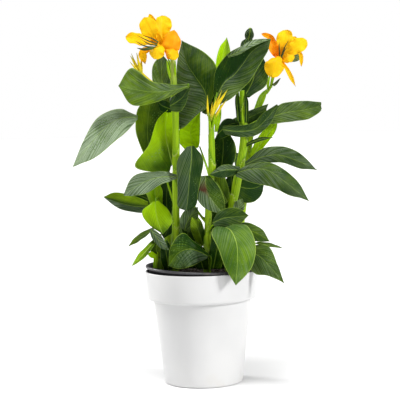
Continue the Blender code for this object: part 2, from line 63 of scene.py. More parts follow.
def add_camera():
    camera = bpy.data.objects.new("camera", bpy.data.cameras.new("camera"))
    camera.data.lens = CAMERA_LENS
    camera.data.sensor_width = 36.0
    camera.data.clip_end = 50.0
    facing = (CAMERA_AIM - CAMERA_PLACE).to_track_quat("-Z", "Y")
    camera.rotation_mode = "QUATERNION"
    camera.rotation_quaternion = facing @ Matrix.Rotation(-CAMERA_ROLL, 4, "Z").to_quaternion()
    camera.location = CAMERA_PLACE
    bpy.context.scene.collection.objects.link(camera)
    bpy.context.scene.camera = camera
    return camera


add_camera()
print("camera height over the floor:", CAMERA_PLACE.z)

# %% [markdown]
# ## Light and floor
# A plant on a white table in a studio is lit by wide soft boxes. A sun lamp with a large angle
# gives the same soft edge to a shadow, and lights the floor evenly out to the horizon, so that
# the white floor and the white sky meet without a line.
#
# Four such lamps are used. The key has the smallest angle and stands low on the right, where it
# models the pot. A softer one lights the leaves from above. One behind on the left edges the
# stems and shines through the thin young leaves, which makes them glow yellow-green. A weak,
# very wide one fills from the front left. The sky looks white but sheds only a little light, so
# that the shade between the leaves stays deep. The "Standard" view keeps white as white instead
# of bending it to grey.

# %% Studio
SKY_LIGHT = 0.14
SKY_SEEN = 1.0
LAMPS = {
    "key": dict(place=(1.0, -0.50, 0.50), spread=12.0, power=3.0),
    "top": dict(place=(-0.15, -0.30, 1.0), spread=28.0, power=2.6),
    "rim": dict(place=(-0.80, 0.55, 0.50), spread=25.0, power=2.6),
    "fill": dict(place=(-0.70, -0.90, 0.30), spread=60.0, power=0.75),
}
FLOOR_SIZE = 40.0
FLOOR_FINISH = {"Base Color": (0.80, 0.80, 0.80, 1.0), "Roughness": 0.8, "Specular IOR Level": 0.1}


def add_lamp(name, place, spread, power):
    lamp = bpy.data.lights.new(name, "SUN")
    lamp.angle = math.radians(spread)
    lamp.energy = power
    made = bpy.data.objects.new(name, lamp)
    made.location = place
    made.rotation_euler = Vector(place).to_track_quat("Z", "Y").to_euler()
    bpy.context.scene.collection.objects.link(made)


def white_sky():
    world = bpy.data.worlds.new("studio")
    world.use_nodes = True
    nodes, links = world.node_tree.nodes, world.node_tree.links
    sky = nodes["Background"]
    sky.inputs["Color"].default_value = (1.0, 1.0, 1.0, 1.0)
    path = nodes.new("ShaderNodeLightPath")
    seen = nodes.new("ShaderNodeMapRange")
    seen.inputs["To Min"].default_value = SKY_LIGHT
    seen.inputs["To Max"].default_value = SKY_SEEN
    links.new(path.outputs["Is Camera Ray"], seen.inputs["Value"])
    links.new(seen.outputs["Result"], sky.inputs["Strength"])
    bpy.context.scene.world = world


def add_floor():
    bpy.ops.mesh.primitive_plane_add(size=FLOOR_SIZE)
    floor = bpy.context.object
    floor.name = "floor"
    paint = bpy.data.materials.new("floor_white")
    paint.use_nodes = True
    for socket, value in FLOOR_FINISH.items():
        paint.node_tree.nodes["Principled BSDF"].inputs[socket].default_value = value
    floor.data.materials.append(paint)


for lamp_name, lamp in LAMPS.items():
    add_lamp(lamp_name, **lamp)
white_sky()
add_floor()
bpy.context.scene.view_settings.view_transform = "Standard"
print("lamps:", list(LAMPS))

# %% [markdown]
# ## Small node-building helpers
# Every finish below is a short chain of shader nodes. These helpers add one node, set what is
# fixed on it and join what flows into it, so that a finish reads like a recipe.

# %% Node helpers
class Finish:
    """A material under construction: its nodes are added one after another."""

    def __init__(self, name):
        self.material = bpy.data.materials.new(name)
        self.material.use_nodes = True
        self.nodes = self.material.node_tree.nodes
        self.links = self.material.node_tree.links
        self.shader = self.nodes["Principled BSDF"]
        self.output = self.nodes["Material Output"]

    def add(self, kind, settings=None, **inputs):
        node = self.nodes.new("ShaderNode" + kind)
        for key, value in (settings or {}).items():
            setattr(node, key, value)
        for key, value in inputs.items():
            self.feed(node, key.replace("_", " "), value)
        return node

    def feed(self, node, name, value):
        socket = node.inputs[int(name)] if name.isdigit() else node.inputs[name]
        if isinstance(value, bpy.types.NodeSocket):
            self.links.new(value, socket)
        elif isinstance(value, tuple) and len(value) == 3 and socket.type == "RGBA":
            socket.default_value = (*value, 1.0)
        else:
            socket.default_value = value

    def sum(self, operation, first, second=0.0):
        node = self.nodes.new("ShaderNodeMath")
        node.operation = operation
        self.feed(node, "0", first)
        self.feed(node, "1", second)
        return node.outputs[0]

    def ramp(self, value, low, high, out_low=0.0, out_high=1.0):
        node = self.add("MapRange", {"interpolation_type": "SMOOTHSTEP"}, Value=value)
        self.feed(node, "From Min", low)
        self.feed(node, "From Max", high)
        self.feed(node, "To Min", out_low)
        self.feed(node, "To Max", out_high)
        return node.outputs["Result"]

    def blend(self, share, first, second):
        node = self.nodes.new("ShaderNodeMix")
        node.data_type = "RGBA"
        self.feed(node, "0", share)
        self.feed(node, "6", first)
        self.feed(node, "7", second)
        return node.outputs[2]

    def grain(self, where, scale, detail=3.0, stretch=None):
        if stretch:
            where = self.add("Mapping", None, Vector=where, Scale=stretch).outputs["Vector"]
        node = self.add("TexNoise", None, Vector=where, Scale=scale, Detail=detail)
        return node.outputs["Fac"]

    def places(self):
        return self.add("TexCoord").outputs["Object"]

    def blade_map(self):
        """How far across a blade (0 to 1) and how far along it, from the blade's own map."""
        split = self.add("SeparateXYZ", None, Vector=self.add("UVMap", {"uv_map": "blade"}).outputs["UV"])
        return split.outputs["X"], split.outputs["Y"]

    def vein_map(self):
        return self.add("UVMap", {"uv_map": "veins"}).outputs["UV"]

    def bump(self, height, depth, strength):
        node = self.add("Bump", None, Height=height, Distance=depth, Strength=strength)
        self.links.new(node.outputs["Normal"], self.shader.inputs["Normal"])

    def set(self, **inputs):
        for key, value in inputs.items():
            self.feed(self.shader, key.replace("_", " "), value)

    def let_light_through(self, colour, share):
        """Mixes in a share of light that comes through from behind."""
        through = self.add("BsdfTranslucent", None, Color=colour)
        mix = self.add("MixShader", None, Fac=share)
        self.links.new(self.shader.outputs["BSDF"], mix.inputs[1])
        self.links.new(through.outputs["BSDF"], mix.inputs[2])
        self.links.new(mix.outputs["Shader"], self.output.inputs["Surface"])


print("finish helper ready")

# %% [markdown]
# ## Placing a piece
# Each piece is linked to the scene, takes its finish, rides on the one rigid body and, where
# it stands for a plain piece of the frame, hides that piece. A few small pieces, such as
# stamens, have no plain piece behind them and only ride along.

# %% Placing helper
def place(name, data, finish, slot, node=None):
    piece = bpy.data.objects.new(name, data)
    data.materials.append(finish.material)
    bpy.context.scene.collection.objects.link(piece)
    data.polygons.foreach_set("use_smooth", [True] * len(data.polygons))
    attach(piece, "root")
    if node:
        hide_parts(node)
    return piece


# %% [markdown]
# ## The cover pot
# The outer pot is white moulded plastic: a tapered body and a deep collar with a soft lower
# edge. It could be cut from a cylinder, but a pot is a turned shape, so its profile is spun
# about the upright axis with the Screw modifier. The profile is the plain pot's own, with more
# points on each rounding and many more steps round, so that the edge catches a smooth
# highlight.

# %% Turned shapes
ROUND_STEPS = 128


def arc(centre, radius, start, end, steps):
    angles = [math.radians(start + (end - start) * i / steps) for i in range(steps + 1)]
    return [(centre[0] + radius * math.cos(a), centre[1] + radius * math.sin(a)) for a in angles]


def turned(name, profile, finish, slot, node):
    mesh = bpy.data.meshes.new(name)
    points = [(radius, 0.0, height) for radius, height in profile]
    mesh.from_pydata(points, [(i, i + 1) for i in range(len(points) - 1)], [])
    piece = place(name, mesh, finish, slot, node)
    screw = piece.modifiers.new("Turn", "SCREW")
    screw.steps = screw.render_steps = ROUND_STEPS
    screw.use_merge_vertices = True
    screw.merge_threshold = 0.00001
    screw.use_smooth_shade = True
    return piece


print("steps round a turned shape:", ROUND_STEPS)

# %% [markdown]
# White plastic is never one flat white. Light falls a little unevenly over the moulded skin,
# and there are faint smudges near the foot. A fine noise drives a very shallow bump, a wide
# soft noise shifts the tint, and the gloss varies a little with it.

# %% White plastic
def white_plastic():
    f = Finish("white_plastic")
    where = f.places()
    cloud = f.grain(where, 9.0, 2.0)
    tint = f.blend(f.ramp(cloud, 0.35, 0.7), (0.545, 0.545, 0.545), (0.585, 0.583, 0.578))
    height = f.add("SeparateXYZ", None, Vector=where).outputs["Z"]
    smudge = f.sum("MULTIPLY", f.ramp(f.grain(where, 38.0, 4.0), 0.52, 0.75), f.ramp(height, 0.05, 0.0))
    f.set(Base_Color=f.blend(f.sum("MULTIPLY", smudge, 0.35), tint, (0.55, 0.53, 0.49)))
    f.set(Roughness=f.ramp(cloud, 0.3, 0.7, 0.28, 0.40), Specular_IOR_Level=0.5)
    f.bump(f.grain(where, 900.0, 2.0), 0.00006, 0.5)
    return f


POT_HEIGHT = 0.212
POT_FOOT_RADIUS = 0.074
POT_BODY_RADIUS = 0.0914
COLLAR_FOOT_RADIUS = 0.100
COLLAR_TOP_RADIUS = 0.106
COLLAR_FOOT_HEIGHT = 0.158
POT_WALL = 0.0028
POT_FLOOR = 0.004
FOOT_ROUNDING = 0.005
COLLAR_ROUNDING = 0.006


def cover_pot_profile():
    rim = POT_WALL / 2
    neck = COLLAR_FOOT_HEIGHT - 0.0015
    outside = arc((COLLAR_TOP_RADIUS - rim, POT_HEIGHT - rim), rim, 90, 0, 8)
    outside += arc((COLLAR_FOOT_RADIUS - COLLAR_ROUNDING * 0.6, COLLAR_FOOT_HEIGHT + COLLAR_ROUNDING),
                   COLLAR_ROUNDING, 0, -80, 10)
    outside += arc((POT_BODY_RADIUS + 0.0015, neck), 0.0015, 90, 180, 4)
    outside += arc((POT_FOOT_RADIUS - FOOT_ROUNDING, FOOT_ROUNDING), FOOT_ROUNDING, -8, -90, 8)
    inside = [
        (0.0, 0.0), (0.0, POT_FLOOR), (POT_FOOT_RADIUS - POT_WALL, POT_FLOOR),
        (POT_BODY_RADIUS - POT_WALL, COLLAR_FOOT_HEIGHT - POT_WALL),
        (COLLAR_FOOT_RADIUS - POT_WALL, COLLAR_FOOT_HEIGHT + POT_WALL),
        (COLLAR_TOP_RADIUS - POT_WALL, POT_HEIGHT - rim),
    ]
    inside += arc((COLLAR_TOP_RADIUS - rim, POT_HEIGHT - rim), rim, 165, 90, 5)
    return outside + inside


cover_pot = turned("pot_cover", cover_pot_profile(), white_plastic(), "white_pot", "cover_pot")
print("cover pot profile points:", len(cover_pot.data.vertices))

# %% [markdown]
# ## The grower's pot
# The plant still stands in the thin dark pot it was sold in, dropped into the cover pot so
# that it leans with its left side high. Only its rolled rim and a strip of wall show. The rim is a
# half-round bead, and the wall inside it is dusty with dried soil, which is a rough brown film
# over the black plastic.

# %% Dark pot
LEAN = math.radians(2.5)
RIM_PLACE = Vector((-0.0015, 0.0, 0.2185))
RIM_RADIUS = 0.1035
RIM_DEPTH = 0.005
DARK_COLLAR_RADIUS = 0.097
DARK_SHOULDER_RADIUS = 0.093
DARK_SHOULDER_DEPTH = 0.0535
DARK_BODY_RADIUS = 0.085
DARK_FOOT_RADIUS = 0.061
DARK_DEPTH = 0.2112
DARK_WALL = 0.0016
SOIL_BELOW_RIM = 0.0125
RIM_TILT = RIM_RADIUS * LEAN
LEANING = Matrix.Translation(RIM_PLACE) @ Matrix.Rotation(LEAN, 4, "Y")


def dark_plastic():
    f = Finish("dark_plastic")
    where = f.places()
    dust = f.ramp(f.grain(where, 120.0, 5.0), 0.50, 0.68)
    f.set(Base_Color=f.blend(f.sum("MULTIPLY", dust, 0.5), (0.028, 0.028, 0.031), (0.115, 0.098, 0.085)))
    f.set(Roughness=f.ramp(dust, 0.0, 1.0, 0.36, 0.8))
    f.bump(f.grain(where, 700.0, 3.0), 0.00012, 0.6)
    return f


def dark_pot_profile():
    wall, lip = DARK_WALL, RIM_DEPTH / 2
    outside = arc((RIM_RADIUS - lip, -lip), lip, 90, -90, 14)
    outside += [
        (DARK_COLLAR_RADIUS, -RIM_DEPTH), (DARK_SHOULDER_RADIUS, -DARK_SHOULDER_DEPTH),
        (DARK_BODY_RADIUS, -DARK_SHOULDER_DEPTH - wall), (DARK_FOOT_RADIUS, -DARK_DEPTH),
    ]
    inside = [
        (0.0, -DARK_DEPTH), (0.0, -DARK_DEPTH + wall), (DARK_FOOT_RADIUS - wall, -DARK_DEPTH + wall),
        (DARK_BODY_RADIUS - wall, -DARK_SHOULDER_DEPTH),
        (DARK_SHOULDER_RADIUS - wall, -DARK_SHOULDER_DEPTH + wall),
        (DARK_COLLAR_RADIUS - wall, -RIM_DEPTH), (DARK_COLLAR_RADIUS - wall * 0.4, -0.0012),
    ]
    return outside + inside + [(DARK_COLLAR_RADIUS + wall, 0.0), (RIM_RADIUS - lip, 0.0)]


dark_pot = turned("pot_grower", dark_pot_profile(), dark_plastic(), "dark_pot", "grower_pot")
dark_pot.matrix_world = LEANING
print("rim stands from", round(RIM_PLACE.z - RIM_TILT, 4), "to", round(RIM_PLACE.z + RIM_TILT, 4))

# %% [markdown]
# ## The soil
# Potting mix is a bed of crumbs, bark bits and fibres, dark because it is damp. The bed is a
# disc of rings whose heights come from layered noise, closed below by a plug that fills the
# pot. Loose crumbs are then strewn on it: small lumps with knocked-about points, so no two are
# alike. They are drawn from a seeded source, so that every run strews them the same way.

# %% Soil finish and bed
SOIL_RADIUS = DARK_COLLAR_RADIUS - DARK_WALL - 0.0012
SOIL_RINGS = 46
SOIL_SPOKES = 120


def damp_soil():
    f = Finish("damp_soil")
    where = f.places()
    crumb = f.grain(where, 260.0, 6.0)
    patch = f.grain(where, 40.0, 3.0)
    tone = f.blend(f.ramp(crumb, 0.35, 0.75), (0.010, 0.007, 0.005), (0.075, 0.050, 0.034))
    f.set(Base_Color=f.blend(f.ramp(patch, 0.45, 0.7, 0.0, 0.6), tone, (0.030, 0.021, 0.015)))
    f.set(Roughness=0.92, Specular_IOR_Level=0.25)
    f.bump(crumb, 0.0009, 1.0)
    return f


def soil_lift(x, y):
    """How far the bed rises or dips at a place, in metres: mounded where the stems stand."""
    lumps = noise.fractal(Vector((x * 70, y * 70, 3.0)), 1.0, 2.0, 5) * 0.0024
    mound = 0.0035 * math.exp(-((x / 0.07) ** 2 + (y / 0.05) ** 2))
    edge = max(0.0, math.hypot(x, y) / SOIL_RADIUS - 0.9) * -0.02
    return lumps + mound + edge


def soil_bed():
    mesh = bpy.data.meshes.new("soil")
    bed = bmesh.new()
    rings = []
    centre = bed.verts.new((0.0, 0.0, -SOIL_BELOW_RIM + soil_lift(0.0, 0.0)))
    for ring in range(1, SOIL_RINGS + 1):
        radius = SOIL_RADIUS * ring / SOIL_RINGS
        turn = [2 * math.pi * i / SOIL_SPOKES for i in range(SOIL_SPOKES)]
        spots = [(radius * math.cos(a), radius * math.sin(a)) for a in turn]
        rings.append([bed.verts.new((x, y, -SOIL_BELOW_RIM + soil_lift(x, y))) for x, y in spots])
    skin = DARK_WALL + 0.0004
    for radius, depth in ((DARK_SHOULDER_RADIUS - skin, DARK_SHOULDER_DEPTH - skin),
                          (DARK_BODY_RADIUS - skin, DARK_SHOULDER_DEPTH),
                          (DARK_FOOT_RADIUS - skin, DARK_DEPTH - skin)):
        share = radius / SOIL_RADIUS
        rings.append([bed.verts.new((v.co.x * share, v.co.y * share, -depth)) for v in rings[SOIL_RINGS - 1]])
    for i in range(SOIL_SPOKES):
        bed.faces.new((centre, rings[0][i], rings[0][(i + 1) % SOIL_SPOKES]))
        for inner, outer in zip(rings, rings[1:]):
            j = (i + 1) % SOIL_SPOKES
            bed.faces.new((inner[i], outer[i], outer[j], inner[j]))
    bed.faces.new(list(reversed(rings[-1])))
    bmesh.ops.recalc_face_normals(bed, faces=bed.faces)
    bed.to_mesh(mesh)
    bed.free()
    return mesh


SOIL = damp_soil()
soil = place("soil", soil_bed(), SOIL, "soil", "potting_soil")
soil.matrix_world = LEANING
print("soil points:", len(soil.data.vertices))


# %% Crumbs on the soil
CRUMBS = 420
CRUMB_SIZES = (0.0009, 0.0030)
STREWING_SEED = 7
chance = random.Random(STREWING_SEED)


def soil_top(x, y):
    """A point on the leaning bed, in the frame."""
    flat = Vector((x, y, -SOIL_BELOW_RIM + soil_lift(x, y)))
    return LEANING @ flat


def strewn_crumbs(count, small, large):
    mesh = bpy.data.meshes.new("crumbs")
    heap = bmesh.new()
    for _ in range(count):
        reach = SOIL_RADIUS * 0.93 * math.sqrt(chance.random())
        angle = chance.uniform(0, 2 * math.pi)
        size = chance.uniform(small, large)
        made = bmesh.ops.create_icosphere(heap, subdivisions=1, radius=size)["verts"]
        squash = Matrix.Diagonal((1.0, chance.uniform(0.5, 1.0), chance.uniform(0.35, 0.8)))
        turn = Matrix.Rotation(chance.uniform(0, 6.3), 3, "Z")
        turn = turn @ Matrix.Rotation(chance.uniform(-0.5, 0.5), 3, "X")
        spot = soil_top(reach * math.cos(angle), reach * math.sin(angle)) + Vector((0, 0, size * 0.3))
        for vertex in made:
            vertex.co = turn @ (squash @ (vertex.co * chance.uniform(0.75, 1.25))) + spot
    heap.to_mesh(mesh)
    heap.free()
    return mesh


place("soil_crumbs", strewn_crumbs(CRUMBS, *CRUMB_SIZES), SOIL, "soil")
print("crumbs:", CRUMBS)

# %% [markdown]
# ## Smooth routes
# Stems, midribs and stalks all follow a smooth curve through a few chosen points. The curve
# used here passes through every point, which makes it easy to steer: a point can be set where
# the stem is known to be, and the curve will go there.

# %% Curve through points
def along(points, share):
    """Place at a share of the smooth curve that passes through the points."""
    points = [Vector(p) for p in points]
    if len(points) < 3:
        return points[0].lerp(points[-1], share)
    spans = len(points) - 1
    index = min(int(share * spans), spans - 1)
    u = share * spans - index
    here, there = points[index], points[index + 1]
    before = points[index - 1] if index else here * 2 - there
    after = points[index + 2] if index + 2 <= spans else there * 2 - here
    return (here * 2 + (there - before) * u + (before * 2 - here * 5 + there * 4 - after) * u * u
            + (here * 3 - before - there * 3 + after) * u ** 3) * 0.5


def heading(points, share):
    """Unit direction of the curve at a share of it."""
    ahead = along(points, min(share + 0.01, 1.0)) - along(points, max(share - 0.01, 0.0))
    return Vector(ahead[:3]).normalized()


def length_of(points, steps=24):
    places = [Vector(along(points, i / steps)[:3]) for i in range(steps + 1)]
    return sum((b - a).length for a, b in zip(places, places[1:]))


print("half way up a test curve:", tuple(round(c, 3) for c in along([(0, 0, 0), (0, 1, 1), (0, 0, 2)], 0.5)))

# %% [markdown]
# ## How a leaf blade is built
# A canna leaf is a broad thin blade with a strong midrib. Fine side veins leave the midrib at a
# slant and run to the margin, and the blade is slightly pleated along them. One blade could be
# sculpted and copied, but no two leaves here bend alike, so each is drawn from a few numbers: a
# route for its midrib, the way its face looks, its half widths and how far each half folds up.
# A grid is laid over that plan, row by row from base to tip.

# %% Blade measures
BLADE_THICKNESS = 0.00045
MIDRIB_REACH = 0.0013
MIDRIB_DEPTH = 0.0014
GROOVE_DEPTH = 0.0006
VEIN_PITCH = 0.0085
VEIN_SLANT = 1.9
PLEAT_DEPTH = 0.00045
UNEVEN_DEPTH = 0.0030
PUCKER_DEPTH = 0.0016
BLADE_ROWS = 44
BLADE_COLUMNS = 9


def width_share(share, widest, blunt, base):
    """Half width at a share of the length, as a share of the greatest half width."""
    if share < widest:
        return base + (1 - base) * math.sin(share / widest * math.pi / 2)
    rest = math.cos((share - widest) / (1 - widest) * math.pi / 2)
    return max(rest, 0.0) ** blunt


def near(value, reach):
    """1 at zero, falling smoothly to 0 some reaches away."""
    return math.exp(-(value / reach) ** 2)


print("vein rows every", VEIN_PITCH * 1000, "mm")

# %% [markdown]
# ### One row of the grid
# A row starts on the midrib and goes out to both margins. Where a plan draws its margins, the
# row simply reaches from the midrib to each of them, with a little bulge. Where a plan gives
# only half widths, the row is built from short straight steps that fold up and curl.

# %% A row of a blade
def seen(x, z, y):
    """A point given in millimetres as it looks from the front, slid along the view to depth y."""
    sight = Vector((x / 1000, 0.0, z / 1000)) - CAMERA_PLACE
    return CAMERA_PLACE + sight * ((y / 1000 - CAMERA_PLACE.y) / sight.y)


class Row:
    """One row of a blade: its place on the midrib, the way its two halves go, and its look."""

    def __init__(self, plan, share):
        self.plan, self.share = plan, share
        self.rib = along(plan["route"], share)
        self.tangent = heading(plan["route"], share)
        if "edges" in plan:
            self.reaches = [along(edge, share) - self.rib for edge in plan["edges"]]
            across = self.reaches[1] - self.reaches[0]
            self.look = (across.cross(self.tangent)).normalized()
            return
        look = along(plan["looks"], share)
        self.look = (look - self.tangent * look.dot(self.tangent)).normalized()
        self.across = self.tangent.cross(self.look)
        shape = (plan.get("widest", 0.5), plan.get("blunt", 0.7), plan.get("base", 0.2))
        self.width = max(width_share(share, *shape), plan.get("tip", 0.015))

    def half(self, right, columns):
        """Points of one half of the row, from the midrib out, and its reach in metres."""
        if "edges" in self.plan:
            way = self.reaches[right]
            bulge = self.plan.get("bulge", (0.0, 0.0))[right] * way.length
            shares = [j / columns for j in range(columns + 1)]
            rises = [math.sin(math.pi * s) * bulge for s in shares]
            return way.length, [self.rib + way * s + self.look * rise for s, rise in zip(shares, rises)]
        reach = self.plan["halves"][right] * self.width
        fold = self.plan["folds"][right]
        curl = self.plan.get("curl", (0.0, 0.0))[right]
        way = self.across if right else -self.across
        points = [self.rib.copy()]
        for column in range(1, columns + 1):
            angle = math.radians(fold + curl * (column - 0.5) / columns)
            step = way * math.cos(angle) + self.look * math.sin(angle)
            points.append(points[-1] + step * (reach / columns))
        return reach, points


print("a point 212 mm up, slid to the front of the collar:", tuple(round(c, 4) for c in seen(0, 212, -106)))

# %% [markdown]
# ### From rows to a mesh
# The grid is moved by small amounts for the pleats, the groove over the midrib, the wavy
# margin and a slow unevenness. The lower sheet copies the upper one, a leaf's thickness lower,
# with the midrib standing proud of it. Two maps go with the mesh: "blade" says how far across
# and along a point is, and "veins" measures it in decimetres along the vein rows and out from
# the midrib, so that vein lines keep their real spacing on leaves of any size.

# %% Blade mesh
def lift(plan, row, size, reach, edge, right, seed):
    """How far a point is moved along the leaf's look: pleats, groove, margin wave, unevenness."""
    out = reach * edge
    rows = row.share * size - plan.get("slant", VEIN_SLANT) * out
    pleat = plan.get("pleat", PLEAT_DEPTH) * math.sin(2 * math.pi * rows / VEIN_PITCH)
    pleat *= min(1.0, out / 0.006) * (1.0 - edge ** 6)
    groove = -GROOVE_DEPTH * near(out, MIDRIB_REACH) * (1.0 - row.share)
    turn = plan.get("waves", 2.5) * row.share * 2 * math.pi + seed + right * 2.1
    wave = plan.get("wave", 0.0016) * edge ** 2 * math.sin(turn) * min(1.0, reach / 0.012)
    slow = noise.noise(row.rib * 28 + Vector((edge * 1.3, right * 2.7, seed))) * UNEVEN_DEPTH * edge
    pucker = noise.noise(row.rib * 75 + Vector((edge * 3.5, right * 5.1, seed))) * PUCKER_DEPTH * edge
    return pleat + groove + wave + slow + pucker, rows


def outline(sheet):
    """The points round the outside of a sheet's grid, in order."""
    right_side = [line[-1] for line in sheet[1:]]
    left_side = [line[0] for line in sheet[-2:0:-1]]
    return sheet[0] + right_side + sheet[-1][-2::-1] + left_side


def blade_mesh(name, plan, rows=BLADE_ROWS, columns=BLADE_COLUMNS):
    seed = float(sum(ord(letter) for letter in name) % 97)
    size = length_of(plan["route"])
    mesh = bpy.data.meshes.new(name)
    made = bmesh.new()
    maps = made.loops.layers.uv.new("blade"), made.loops.layers.uv.new("veins")
    top, under, notes = [], [], {}
    for i in range(rows + 1):
        row = Row(plan, i / rows)
        line = []
        for right in (0, 1):
            reach, points = row.half(right, columns)
            for j in range(columns, 0, -1) if right == 0 else range(0, columns + 1):
                edge = j / columns
                up, vein = lift(plan, row, size, reach, edge, right, seed)
                sign = 1 if right else -1
                line.append((points[j] + row.look * up, sign * edge, reach * edge, vein))
        upper, lower = [], []
        for spot, side, out, vein in line:
            deep = BLADE_THICKNESS + MIDRIB_DEPTH * near(out, MIDRIB_REACH) * (1.0 - row.share) ** 0.7
            pair = made.verts.new(spot), made.verts.new(spot - row.look * deep)
            upper.append(pair[0])
            lower.append(pair[1])
            for vertex in pair:
                notes[vertex] = ((side + 1) / 2, row.share), (vein * 10, out * 10)
        top.append(upper)
        under.append(lower)
    for a, b in zip(top, top[1:]):
        for j in range(len(a) - 1):
            made.faces.new((a[j], a[j + 1], b[j + 1], b[j]))
    for a, b in zip(under, under[1:]):
        for j in range(len(a) - 1):
            made.faces.new((b[j], b[j + 1], a[j + 1], a[j])).material_index = 1
    rim, low = outline(top), outline(under)
    for i in range(len(rim)):
        j = (i + 1) % len(rim)
        made.faces.new((rim[j], rim[i], low[i], low[j]))
    for face in made.faces:
        for loop in face.loops:
            for layer, note in zip(maps, notes[loop.vert]):
                loop[layer].uv = note
    made.to_mesh(mesh)
    made.free()
    return mesh


print("points in one blade:", 2 * (BLADE_ROWS + 1) * (2 * BLADE_COLUMNS + 1))

# %% [markdown]
# ## The skin of a leaf
# A leaf's upper face is waxy, with a soft sheen. It is darkest along the side veins and paler
# on the midrib and the thin margin. Its lower face is duller and paler, with the veins raised.
# Light also comes through the blade, and much more through a young leaf than through an old
# one. The recipe below reads the two blade maps for the veins, the midrib and the margin, adds
# streaks that follow the veins, and mixes in light from behind.
#
# Each leaf also carries a painted "tone". Its first channel runs from 0 for the old dark skin to 1 for the
# young bright skin; per half and towards the tip it is also set darker or lighter as painted shade and light,
# where a half faces away from the lamps or catches them, and tones up to 1.2 push a leaf that glows with
# light from behind to its brightest. The second channel is partly the grey waxy bloom that some leaves show
# in patches and partly a painted silvery sheen, and the third is how scorched the leaf is.

# %% Greens and the vein pattern
OLD_GREEN = (0.0045, 0.027, 0.0005)
MIDDLE_GREEN = (0.022, 0.080, 0.003)
# The young green is lighter than a young leaf's own colour: partly painted light, so that young leaves in the
# shade still glow as if lit from behind.
YOUNG_GREEN_AND_GLOW = (0.520, 0.820, 0.003)
# Grey-green of the leaves' waxy bloom, also used as a painted silvery sheen.
BLOOM_AND_SHEEN_GREEN = (0.330, 0.420, 0.270)
VEIN_GREEN = (0.280, 0.430, 0.045)
GLOW_GREEN = (0.620, 0.850, 0.004)
THROUGH_GREEN = (0.140, 0.420, 0.002)
SCORCHED = (0.060, 0.015, 0.010)


def painted(f):
    """The three channels of the painted tone."""
    colour = f.add("Attribute", {"attribute_name": "tone"}).outputs["Color"]
    split = f.add("SeparateColor", None, Color=colour)
    return [split.outputs[channel] for channel in ("Red", "Green", "Blue")]


def vein_pattern(f, veins):
    """Streaks along the veins, the vein lines, the midrib and the margin, each from 0 to 1."""
    split = f.add("SeparateXYZ", None, Vector=veins)
    row, out = split.outputs["X"], split.outputs["Y"]
    streak = f.grain(veins, 1.0, 2.0, (55.0, 3.0, 1.0))
    cycle = f.sum("SINE", f.sum("MULTIPLY", row, 2 * math.pi / (VEIN_PITCH * 10)))
    finer = f.sum("SINE", f.sum("MULTIPLY", row, 6 * math.pi / (VEIN_PITCH * 10)))
    line = f.sum("MAXIMUM", f.ramp(cycle, 0.55, 1.0), f.ramp(finer, 0.4, 1.0, 0.0, 0.35))
    side, share = f.blade_map()
    midrib = f.ramp(f.sum("ADD", out, f.sum("MULTIPLY", share, 0.007)), MIDRIB_REACH * 10, MIDRIB_REACH * 4)
    from_middle = f.sum("ABSOLUTE", f.sum("SUBTRACT", f.sum("MULTIPLY", side, 2.0), 1.0))
    margin = f.ramp(from_middle, 0.95, 0.985)
    return streak, line, midrib, margin


print("greens from old", OLD_GREEN, "to young", YOUNG_GREEN_AND_GLOW)


# %% Upper and lower skins
def leaf_skin(name, old, vein, rib_share):
    f = Finish(name)
    tone, grey, burnt = painted(f)
    where, veins = f.places(), f.vein_map()
    streak, line, midrib, margin = vein_pattern(f, veins)
    patch = f.grain(where, 34.0, 3.0)
    broad = f.grain(where, 15.0, 2.0)
    stir = f.sum("ADD", f.ramp(streak, 0.3, 0.7, -0.09, 0.09), f.ramp(patch, 0.35, 0.65, -0.06, 0.06))
    # Painted sheen: the grey mixed in below, through these silvery streaks and broad patches, is partly the
    # leaf's waxy bloom and partly a painted silvery sheen.
    silver = f.grain(veins, 1.0, 2.0, (24.0, 1.8, 1.0))
    shine = f.sum("MULTIPLY", f.ramp(silver, 0.38, 0.60, 0.12, 1.0), f.ramp(broad, 0.35, 0.6, 0.35, 1.0))
    shade = f.sum("ADD", tone, stir)
    skin = f.blend(f.ramp(shade, -0.05, 1.15), old, YOUNG_GREEN_AND_GLOW)
    skin = f.blend(f.sum("MULTIPLY", grey, shine), skin, BLOOM_AND_SHEEN_GREEN)
    skin = f.blend(f.sum("MULTIPLY", line, f.ramp(grey, 0.0, 1.0, 0.22, 0.55)), skin, old)
    skin = f.blend(f.sum("MULTIPLY", midrib, rib_share), skin, vein)
    skin = f.blend(f.sum("MULTIPLY", margin, 0.6), skin, vein)
    skin = f.blend(f.sum("MULTIPLY", burnt, f.ramp(patch, 0.35, 0.55)), skin, SCORCHED)
    f.set(Base_Color=skin, Roughness=f.ramp(streak, 0.3, 0.7, 0.32, 0.44), Specular_IOR_Level=0.09)
    height = f.sum("SUBTRACT", f.sum("MULTIPLY", streak, 0.35), f.sum("MULTIPLY", line, 0.6))
    f.bump(height, 0.0009, 0.8)
    f.let_light_through(f.blend(tone, THROUGH_GREEN, GLOW_GREEN), f.ramp(tone, 0.0, 1.0, 0.05, 0.52))
    return f


def leaf_underside(name, old, young, vein):
    f = Finish(name)
    tone = painted(f)[0]
    streak, line, midrib, _ = vein_pattern(f, f.vein_map())
    skin = f.blend(f.sum("ADD", tone, f.ramp(streak, 0.3, 0.7, -0.12, 0.12)), old, young)
    skin = f.blend(f.sum("MULTIPLY", line, 0.3), skin, vein)
    skin = f.blend(f.sum("MULTIPLY", midrib, 0.85), skin, vein)
    f.set(Base_Color=skin, Roughness=0.55, Specular_IOR_Level=0.15)
    f.bump(f.sum("ADD", f.sum("MULTIPLY", streak, 0.3), line), 0.0005, 0.7)
    f.let_light_through(f.blend(tone, THROUGH_GREEN, GLOW_GREEN), f.ramp(tone, 0.0, 1.0, 0.12, 0.42))
    return f


